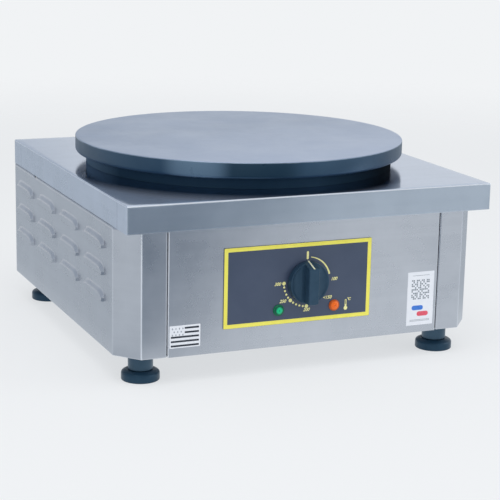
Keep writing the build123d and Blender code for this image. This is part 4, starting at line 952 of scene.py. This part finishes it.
def knob_height(x, y):
    """Height of the knob's face at (x, y): dishes that follow a cylinder's arc on both sides of the bar,
    a rim of even height round them, and the bar with its flat top and rounded sides.  A slope cuts the
    bar and the skirt at the upper end."""
    across, radius = np.abs(x), np.hypot(x, y)
    dish = DISH_LOW + DISH_R - np.sqrt(np.maximum(DISH_R ** 2 - (across - DISH_X) ** 2, 0.0))
    rim = np.clip((radius - FACE_RIM) / 0.0016, 0.0, 1.0)
    rim = rim * rim * (3 - 2 * rim)
    dish = np.minimum(dish, SKIRT_H)
    face = dish * (1 - rim) + SKIRT_H * rim
    flank = np.clip((across - (BAR_W / 2 - BAR_ROUND)) / BAR_ROUND, 0.0, 1.0)
    crown = KNOB_H - BAR_ROUND * (1 - np.sqrt(1 - flank ** 2))
    foot = np.clip((radius - (BAR_END - BAR_ROUND)) / BAR_ROUND, 0.0, 1.0) * (y < 0)
    crown = crown - BAR_ROUND * (1 - np.sqrt(1 - foot ** 2))
    inside = (across <= BAR_W / 2) & ((y > 0) | (radius <= BAR_END))
    return np.minimum(np.where(inside, np.maximum(crown, face), face), slope_height(y))


def knob_face():
    """Grid over the knob's round face: columns stand at fixed x, close together at the bar's sides,
    and rows at fixed shares of each column's chord, close together at the bar's ends."""
    side = BAR_W / 2
    near = side - BAR_ROUND * (1 - np.sin(np.linspace(0.0, math.pi / 2, 6)))
    right = np.concatenate((np.linspace(0.0, 0.0046, 4), near, (side + 0.0002,),
                            np.linspace(0.0072, 0.0205, 12),
                            FACE_R * np.sin(np.radians((64.0, 68.0, 72.0, 76.0, 80.0, 84.0, 87.0, 90.0)))))
    x = np.concatenate((-right[:0:-1], right))
    y_rows = np.concatenate((-FACE_R * np.sin(np.radians(np.linspace(90.0, 84.0, 4))),
                             -(BAR_END - BAR_ROUND * (1 - np.sin(np.linspace(math.pi / 2, 0.0, 6)))),
                             np.linspace(-FACE_RIM, 0.0180, 24), np.linspace(0.0184, FACE_R, 14)))
    share = np.unique(np.round(np.clip(y_rows / FACE_R, -1.0, 1.0), 6))
    grid_x, grid_t = np.meshgrid(x, share, indexing="ij")
    grid_y = grid_t * np.sqrt(np.maximum(FACE_R ** 2 - grid_x ** 2, 0.0))
    return np.stack((grid_x, grid_y, knob_height(grid_x, grid_y)), axis=-1)


def onto_knob(points):
    """Knob coordinates (right, up, towards the viewer) to the machine's."""
    x, up, out = np.moveaxis(points, -1, 0)
    return np.stack((DIAL[0] + x, knob_back - out, DIAL[1] + up), axis=-1)


face = knob_face()
rim_line = np.concatenate((face[:, 0], face[::-1, -1]))
rim_line = rim_line[np.unique(np.round(rim_line, 7), axis=0, return_index=True)[1]]
rim_line = rim_line[np.argsort(np.arctan2(rim_line[:, 1], rim_line[:, 0]))]
apart = np.linalg.norm(np.diff(rim_line[:, :2], axis=0), axis=1) > 1e-6
rim_line = rim_line[np.concatenate(([True], apart))]
around = rim_line[:, :2] / np.linalg.norm(rim_line[:, :2], axis=1)[:, None]
outside = ((KNOB_R - 0.0001, SKIRT_H - 0.00012), (KNOB_R, SKIRT_H - 0.0004), (SKIRT_R, 0.0004),
           (SKIRT_R - 0.0004, 0.0))
underneath = ((HOLLOW_OUT, 0.0), (HOLLOW_OUT, HOLLOW_H), (HOLLOW_IN, HOLLOW_H), (HOLLOW_IN, 0.0),
              (BORE_R, 0.0), (BORE_R, BORE_H), (0.0, BORE_H))
rows = [rim_line] + [np.column_stack((around * r, np.minimum(h, slope_height(around[:, 1] * r))))
                     for r, h in outside]
rows += [np.column_stack((around * r, np.full(len(around), h))) for r, h in underneath]
co, faces = quads(face)
knob = [(onto_knob(co), faces), quads(onto_knob(np.stack(rows, axis=1)), around=True)]
knob_plastic = clouded("knob_plastic", (0.017, 0.044, 0.078), (0.026, 0.059, 0.102), 70.0,
                       (120.0, 0.32, 0.44), (3000.0, 0.00002), Specular_Tint=NAVY)
make_piece("control_knob_moulded", knob, 32, knob_plastic, "knob_plastic", "dial", "control_knob")

POINTER_W = 0.0019
slope = np.array((SLOPE_TOP - SLOPE_FOOT, KNOB_H))
proud = np.array((KNOB_H, SLOPE_FOOT - SLOPE_TOP)) / np.hypot(*slope)
share = np.linspace(0.985, 0.20, 5)
line = np.vstack((np.array((SLOPE_FOOT, 0.0)) + share[:, None] * slope,
                  (KNOB_R + 0.0001, slope_height(KNOB_R)), (SKIRT_R + 0.00005, 0.0006)))
section = [(side * POINTER_W / 2, lift)
           for side, lift in ((-1, -INK), (1, -INK), (1, 2 * INK), (-1, 2 * INK))]
strip = np.stack([np.column_stack((np.full(len(line), x), line + proud * lift)) for x, lift in section],
                 axis=1)
ink_cream = clouded("ink_cream", (0.72, 0.74, 0.52), (0.80, 0.81, 0.62), 200.0, Roughness=0.45)
make_piece("knob_pointer_line", [quads(onto_knob(strip), along=True, caps=True)], 30, ink_cream,
           "knob_plastic", "dial")

# ---- Pilot lamps ----------------------------------------------------------------------
# Two clear coloured lenses, green at the left and orange at the right.  Each is a low dome with
# fine rings moulded inside, in a rim that stands on the control plate.
LENS_R, LENS_FLAT, DOME_R, DOME_BALL = 0.0066, 0.0014, 0.0059, 0.0086
STEM_IN, STEM_L = 0.0049, 0.009
FLUTES, FLUTE_D, RING_PITCH, RING_D, PIP_R, PIP_D = 14, 0.00012, 0.0011, 0.00003, 0.0007, 0.0005
LAMP_X, LAMP_Z = 0.0347, 0.0751


def lens(middle):
    """Dome of a ball's cap in a stepped collar on a short stem.  Its face has fine rings, a pip in the
    middle, and flutes: waves of cos(14 a) whose depth grows as a half sine of the radius."""
    r = np.linspace(0.0, DOME_R - 0.0004, 30)
    dome = LENS_FLAT - math.sqrt(DOME_BALL ** 2 - DOME_R ** 2) + np.sqrt(DOME_BALL ** 2 - r ** 2)
    dome = dome - RING_D * (1 - np.cos(r / RING_PITCH * 2 * math.pi)) - PIP_D * np.exp(-(r / PIP_R) ** 2)
    collar = rounded([(DOME_R - 0.0003, dome[-1] - 0.0001), (DOME_R - 0.0002, LENS_FLAT),
                      (LENS_R, LENS_FLAT), (LENS_R, 0.0), (STEM_IN, 0.0), (STEM_IN, -STEM_L),
                      (0.0, -STEM_L)], (0.0001, 0.0005, 0.0001, 0.0001, 0.0004), steps=4)
    radius, height = np.vstack((np.column_stack((r, dome)), collar)).T
    swell = np.sin(np.clip(radius / r[-1], 0.0, 1.0) * math.pi)
    wave = FLUTE_D * np.cos(FLUTES * stations(112))[:, None] * swell
    wave[:, len(r):] = 0.0
    return ringed(np.tile(radius, (112, 1)), height + wave - np.abs(wave).max(), middle, (0, -1, 0))


def lens_plastic(name, middle, bright, deep, reach, dull):
    """Tinted plastic over a reflector, with painted light and shade: bright near the middle and deep
    beyond that reach, with a dark heart and a dull rim.  A faint emission stands in for the light that
    the reflector returns."""
    material, tree, shader = finish_of(name, Roughness=0.15, Specular_IOR_Level=0.25, Coat_Weight=0.15,
                                       Coat_Roughness=0.03, Emission_Strength=0.12)
    plane = vector(tree, "MULTIPLY", vector(tree, "SUBTRACT", here(tree), middle), (1.0, 0.0, 1.0))
    radius = vector(tree, "LENGTH", plane)
    aside = vector(tree, "LENGTH", vector(tree, "SUBTRACT", plane, (0.0003, 0.0, 0.0)))
    lit = number(tree, "MULTIPLY", ease(tree, radius, 0.0, 0.0010), ease(tree, aside, reach, reach * 0.45))
    shade = blend(tree, lit, deep, bright)
    rim = ease(tree, radius, 0.0044, 0.0058)
    colour = blend(tree, rim, shade, [c * dull for c in bright])
    feed(shader, Base_Color=colour, Emission_Color=colour)
    return material


for name, side, bright, deep, reach, dull in (
        ("green", -1, (0.003, 0.53, 0.23), (0.001, 0.050, 0.034), 0.0052, 0.25),
        ("orange", 1, (0.86, 0.15, 0.010), (0.30, 0.035, 0.008), 0.0078, 0.50)):
    middle = (DIAL[0] + side * LAMP_X, fascia_front, LAMP_Z)
    make_piece(f"pilot_lens_{name}_ringed", [lens(middle)], 40,
               lens_plastic(f"lens_{name}", middle, bright, deep, reach, dull), f"lens_{name}", "case",
               f"pilot_lens_{name}")

# ---- Stickers -------------------------------------------------------------------------
# Two white film stickers on the front: a small one with a striped flag at the lower left, and a
# tall one with a plain pattern at the lower right.
FILM, FILM_CORNER = 0.00015, 0.0006
film_white = clouded("film_white", (0.86, 0.90, 0.97), (0.91, 0.94, 1.0), 50.0, grain=(900.0, 0.00001),
                     Roughness=0.3, Coat_Weight=0.2)


def print_on(name, outlines, front, ink, slot):
    """Piece of one ink with a flat print for each outline."""
    make_piece(name, [printed([outline], front) for outline in outlines], 30, ink, slot, "case")


def ink_of(name, dark, light):
    """Printing ink of one colour, a little uneven."""
    return clouded(name, dark, light, 220.0, Roughness=0.4)


for name, slot in (("striped_sticker", "sticker_striped"), ("white_label", "label_white")):
    low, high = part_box(name)
    outline = rectangle((low.x, low.z), (high.x, high.z), FILM_CORNER)
    make_piece(f"{name}_film", [printed([outline], low.y + FILM, FILM)], 30, film_white, slot, "case", name)

STRIPE_H, STRIPE_PITCH, LOWEST_STRIPE, MARGIN = 0.0021, 0.0050, 0.0014, 0.0016
CANTON_W = 0.0178
low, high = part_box("striped_sticker")
stripes = []
for i in range(5):
    x0, z0 = low.x + (MARGIN if i < 3 else CANTON_W), low.z + LOWEST_STRIPE + i * STRIPE_PITCH
    stripes.append(rectangle((x0, z0), (high.x - MARGIN, z0 + STRIPE_H), 0.0003))
print_on("sticker_stripes", stripes, low.y, ink_of("ink_navy", (0.012, 0.018, 0.032), (0.022, 0.032, 0.052)),
         "sticker_striped")
ARM_UP, ARM_OUT, ARM_HALF = 0.0012, 0.0009, 0.0003
CROSS_PITCH, ROW_PITCH, FIRST_CROSS = 0.0041, 0.0036, (0.0034, 0.0035)
quarter = np.array(((ARM_HALF, ARM_UP), (ARM_HALF, ARM_HALF), (ARM_OUT, ARM_HALF)))
plus = np.vstack([corner * flip for corner, flip in ((quarter, (1, 1)), (quarter[::-1], (1, -1)),
                                                     (quarter, (-1, -1)), (quarter[::-1], (-1, 1)))])
crosses = [plus + (low.x + FIRST_CROSS[0] + CROSS_PITCH * (i + 0.5 * (count == 3)),
                   high.z - FIRST_CROSS[1] - ROW_PITCH * row)
           for row, count in enumerate((4, 3, 4)) for i in range(count)]
print_on("sticker_crosses", crosses, low.y, ink_of("ink_pale_grey", (0.30, 0.34, 0.40), (0.36, 0.40, 0.46)),
         "sticker_striped")

# The label has a field of small squares set in rings round its middle, where every other ring is
# dotted, with thin rules above and below it and two coloured bars.
CELL, CELL_INK, FIELD, FIELD_DROP = 0.00218, 0.74, 11, 0.0330
RULE_H, LABEL_BAR_W, LABEL_BAR_H, LABEL_BAR_SHIFT = 0.0004, 0.0150, 0.0056, 0.0035
low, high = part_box("white_label")
middle_x = (low.x + high.x) / 2
prints = []
for i in range(FIELD):
    for j in range(FIELD):
        ring = max(abs(i - FIELD // 2), abs(j - FIELD // 2))
        if (ring % 2 == 1 and (i + j) % 3 > 0) or (ring % 2 == 0 and (i + j) % 2 == 0):
            corner = np.array((middle_x + (i - FIELD / 2) * CELL, high.z - FIELD_DROP + j * CELL))
            prints.append(rectangle(corner, corner + CELL * CELL_INK))
prints += [rectangle((middle_x - w / 2, z), (middle_x + w / 2, z + RULE_H))
           for w, z in ((0.022, high.z - 0.0046), (0.026, low.z + 0.0062), (0.026, low.z + 0.0048))]
print_on("label_lattice", prints, low.y, ink_of("ink_grey", (0.16, 0.20, 0.24), (0.22, 0.26, 0.30)),
         "label_white")
for name, up, side, dark, light in (("blue", 0.0182, -1, (0.03, 0.18, 0.68), (0.05, 0.23, 0.78)),
                                    ("red", 0.0108, 1, (0.80, 0.08, 0.14), (0.88, 0.12, 0.18))):
    corner = np.array((middle_x + side * LABEL_BAR_SHIFT - LABEL_BAR_W / 2, low.z + up))
    print_on(f"label_bar_{name}", [rectangle(corner, corner + (LABEL_BAR_W, LABEL_BAR_H), 0.0026)],
             low.y, ink_of(f"ink_{name}", dark, light), "label_white")

# ---- Levelling feet -------------------------------------------------------------------
# Black nylon feet: a round pad stands on the table, and a collared screw turns in it.  The screw's
# steel thread runs up into a nut in the floor of the case.
FOOT_X, FOOT_FRONT_Y, FOOT_REAR_Y = 0.1873, -0.1726, 0.1965
PAD_R, PAD_H, PAD_EDGE_H, PAD_TOP_R = 0.0218, 0.012, 0.0094, 0.0165
NECK_R, NECK_LOW, NECK_TOP = 0.0142, 0.0123, 0.0331
SPIGOT_R, SPIGOT_LOW, SPIGOT_GAP, SPIGOT_PLAY = 0.006, 0.0043, 0.0003, 0.0001
THREAD_R, THREAD_TOP, THREAD_PITCH, THREAD_DEPTH = 0.005, 0.066, 0.0015, 0.0007


def thread(origin, axis, low, high, radius, pitch, depth):
    """Screw thread: at height h and angle a the radius is that of the crest less depth times the
    triangle wave of h / pitch - a / (2 pi).  Both ends close on the axis."""
    height = np.linspace(low, high, int((high - low) / pitch * 4) + 1)
    phase = np.mod(height[None] / pitch - np.arange(24)[:, None] / 24, 1.0)
    crest = radius - depth * np.abs(2 * phase - 1)
    ends = np.zeros((24, 1))
    return ringed(np.hstack((ends, crest, ends)), np.concatenate(((low,), height, (high,))), origin, axis)


def nylon(name, gloss):
    """Navy black nylon, a little cloudy, with a moulded skin."""
    return clouded(name, (0.011, 0.035, 0.065), (0.018, 0.050, 0.090), 60.0, (90.0, 0.28, 0.42),
                   (1800.0, 0.00004), Specular_IOR_Level=gloss, Specular_Tint=NAVY)


pad_nylon, collar_nylon = nylon("foot_pad_nylon", 0.35), nylon("foot_collar_nylon", 1.0)
pad_outside = rounded([(0.0, 0.0), (PAD_R, 0.0), (PAD_R, PAD_EDGE_H), (PAD_TOP_R, PAD_H), (SPIGOT_R, PAD_H)],
                      (0.0012, 0.0035, 0.002))
pad_bore = rounded([(SPIGOT_R, PAD_H), (SPIGOT_R, SPIGOT_LOW - SPIGOT_GAP), (0.0, SPIGOT_LOW - SPIGOT_GAP)],
                   0.0004)
collar = rounded([(0.0, SPIGOT_LOW), (SPIGOT_R - SPIGOT_PLAY, SPIGOT_LOW), (SPIGOT_R - SPIGOT_PLAY, NECK_LOW),
                  (NECK_R, NECK_LOW), (NECK_R, NECK_TOP), (0.0, NECK_TOP)], (0.0004, 0.0001, 0.0006, 0.0006))
for end, y in (("front", FOOT_FRONT_Y), ("rear", FOOT_REAR_Y)):
    for side, x in (("left", -FOOT_X), ("right", FOOT_X)):
        name, seat = f"{end}_{side}", (x, y, 0.0)
        make_piece(f"foot_pad_{name}_nylon", [turned(np.vstack((pad_outside, pad_bore)), seat, segments=96)],
                   35, pad_nylon, "foot_plastic", f"foot_{name}", f"foot_pad_{name}")
        make_piece(f"foot_collar_{name}", [turned(collar, seat, segments=96)], 35, collar_nylon,
                   "foot_screw_plastic", f"screw_{name}", f"foot_screw_{name}")
        stem = thread(seat, (0, 0, 1), NECK_TOP, THREAD_TOP, THREAD_R, THREAD_PITCH, THREAD_DEPTH)
        make_piece(f"foot_thread_{name}", [stem], 60, screw_zinc, "screw_steel", f"screw_{name}",
                   f"foot_screw_{name}")

# ---- Cable gland and bonding stud -----------------------------------------------------
# At the back: a black nylon gland with its rubber sleeve, ready for the supply cable, and a bonding
# stud with brass nuts.
REAR_SHEET_Y = 0.212
GLAND, BOND = (-0.150, REAR_SHEET_Y, 0.070), (0.150, REAR_SHEET_Y, 0.062)
BACK, FRONT = (0, 1, 0), (0, -1, 0)
BODY_FLATS, BODY_H, BORE = 0.024, 0.005, 0.0075
BARREL_R, BARREL_L = 0.0100, 0.012
CAP_FLATS, CAP_R, CAP_BORE = 0.022, 0.0118, 0.0066
SLEEVE_BORE, LIP_OUT, LIP_IN = 0.0055, 0.005, 0.006


def hexagonal(angle, across_flats):
    """Radius of a hexagon with that width across its flats, at each angle."""
    turn = np.mod(angle, math.pi / 3) - math.pi / 6
    return across_flats / 2 / np.cos(turn)


def nut(origin, axis, across_flats, height, bore):
    """Hexagonal nut with turned chamfers: rows climb its bore's edge, out to the lesser of hexagon
    and chamfer circle, up the flats and back, and close down the bore."""
    hexagon = hexagonal(stations(96), across_flats)
    circle = np.minimum(hexagon, across_flats * 0.5 * 1.03)
    chamfer = across_flats * 0.04
    rows = ((np.full(96, bore), 0.0), (circle, 0.0), (hexagon, chamfer), (hexagon, height - chamfer),
            (circle, height), (np.full(96, bore), height))
    return lathe(rows, origin, axis, along=True)


gland_black = clouded("gland_nylon", (0.016, 0.018, 0.022), (0.028, 0.030, 0.034), 80.0,
                      grain=(1800.0, 0.00004), Roughness=0.4)
barrel = ((BORE, -BARREL_L), (BARREL_R, -BARREL_L), (BARREL_R, 0.0), (BORE, 0.0))
make_piece("gland_body_hexagon", [nut(GLAND, BACK, BODY_FLATS, BODY_H, BORE),
                                  turned(barrel, GLAND, BACK, 64, along=True)], 35, gland_black,
           "gland_plastic", "case", "gland_body")
seat = (GLAND[0], REAR_SHEET_Y + BODY_H, GLAND[2])
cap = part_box("gland_nut")[1].y - seat[1]
grip = np.minimum(hexagonal(stations(96), CAP_FLATS), CAP_R)
rows = [(np.full(96, CAP_BORE), 0.0), (grip * 0.97, 0.0), (grip, 0.0004), (grip, cap * 0.58)]
rows += [(np.full(96, r), cap * share) for r, share in ((0.0106, 0.62), (0.0098, 0.82), (0.0086, 0.96),
                                                        (0.0080, 1.0), (CAP_BORE, 1.0))]
make_piece("gland_nut_domed", [lathe(rows, seat, BACK, along=True)], 35, gland_black, "gland_plastic",
           "case", "gland_nut")
rubber = clouded("gland_rubber", (0.015, 0.015, 0.015), (0.028, 0.027, 0.026), 100.0,
                 grain=(1500.0, 0.00006), Roughness=0.7)
sleeve = rounded([(SLEEVE_BORE, -0.0045), (SLEEVE_BORE, -LIP_IN), (BORE, -LIP_IN), (BORE, LIP_OUT),
                  (SLEEVE_BORE, LIP_OUT), (SLEEVE_BORE, -0.0045)], (0.0006, 0.0004, 0.0006, 0.0008))[:-1]
make_piece("gland_seal_sleeve", [turned(sleeve, GLAND, BACK, 64, along=True)], 40, rubber, "gland_rubber",
           "case", "gland_seal")

BOND_R, BOND_Y, BOND_PITCH, BOND_DEPTH = 0.003, (0.198, 0.226), 0.001, 0.0004
WASHER_R, WASHER_H, BOND_FLATS = 0.006, 0.0012, 0.010
brass = clouded("nut_brass", (0.58, 0.40, 0.16), (0.74, 0.56, 0.27), 140.0, (200.0, 0.24, 0.42),
                Metallic=1.0)
stud = thread((BOND[0], 0.0, BOND[2]), BACK, *BOND_Y, BOND_R, BOND_PITCH, BOND_DEPTH)
make_piece("bonding_stud_threaded", [stud], 60, screw_zinc, "screw_steel", "case", "bonding_stud")
washer = [(BOND_R, 0.0), (WASHER_R, 0.0), (WASHER_R, WASHER_H), (BOND_R, WASHER_H)]
nuts = []
for y, way, nut_h in ((REAR_SHEET_Y - SHEET, FRONT, 0.005), (REAR_SHEET_Y, BACK, 0.004)):
    nuts += [turned(washer, (BOND[0], y, BOND[2]), way, 64, along=True),
             nut((BOND[0], y + way[1] * WASHER_H, BOND[2]), way, BOND_FLATS, nut_h, BOND_R)]
make_piece("bonding_nuts_brass", nuts, 30, brass, "nut_brass", "case", "bonding_nuts")

# ---- Inside the case ------------------------------------------------------------------
# The plate's studs and clamps, the heating loops with their shield, the thermostat, lamps, wiring
# and fixings keep their solid shapes and get the finishes of bought-in parts.
def metal(name, dark, light, low_rough, high_rough, fineness=60.0):
    """Plain metal with cloudy colour and polish."""
    return clouded(name, dark, light, fineness, (fineness * 1.7, low_rough, high_rough),
                   (1200.0, 0.00001), Metallic=1.0)


def moulded(name, dark, light, roughness, depth=0.00003, fineness=80.0):
    """Plastic, ceramic, fibre or sleeve with slightly uneven colour and a fine skin."""
    return clouded(name, dark, light, fineness, grain=(1200.0, depth), Roughness=roughness)


dress(metal("zinc_plated", (0.46, 0.48, 0.50), (0.60, 0.61, 0.60), 0.28, 0.42), "plate_studs", "stud_nuts",
      "spacer_tubes", "element_clamp_bars", "thermostat_bracket", "thermostat_housing", "weld_studs",
      "weld_stud_nuts", "seam_screws", "lamp_clips", "foot_weld_nuts", "support_rails", "bulb_clip")
dress(metal("turned_steel", (0.55, 0.56, 0.58), (0.66, 0.67, 0.68), 0.2, 0.32), "terminal_screws",
      "thermostat_shaft", "element_terminals")
dress(metal("heat_blued_sheath", (0.09, 0.08, 0.09), (0.20, 0.17, 0.15), 0.35, 0.5, 25.0),
      "heating_loop_outer", "heating_loop_middle", "heating_loop_inner")
dress(metal("bright_aluminium", (0.72, 0.73, 0.75), (0.84, 0.84, 0.85), 0.15, 0.3, 20.0), "reflector_dish",
      "ring_rivets")
dress(metal("pan_steel", (0.40, 0.41, 0.42), (0.52, 0.52, 0.53), 0.3, 0.45, 20.0), "insulation_pan")
dress(metal("copper", (0.55, 0.26, 0.14), (0.72, 0.40, 0.24), 0.25, 0.4), "sensing_bulb", "capillary_tube")
dress(moulded("ceramic_fibre", (0.74, 0.71, 0.62), (0.84, 0.82, 0.75), 0.9, 0.0003, 40.0), "insulation_board")
dress(moulded("steatite", (0.70, 0.66, 0.56), (0.78, 0.75, 0.66), 0.45), "thermostat_switch_base",
      "terminal_block")
dress(moulded("lamp_plastic", (0.05, 0.05, 0.052), (0.08, 0.08, 0.082), 0.4), "pilot_lamp_bodies")
dress(moulded("gland_locknut_nylon", (0.016, 0.018, 0.022), (0.028, 0.030, 0.034), 0.4), "gland_locknut")
dress(moulded("lead_sleeve", (0.60, 0.55, 0.46), (0.70, 0.66, 0.58), 0.6), "wiring_leads")

size = {"cad": cad_box, "visual": [list(corner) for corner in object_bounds()]}
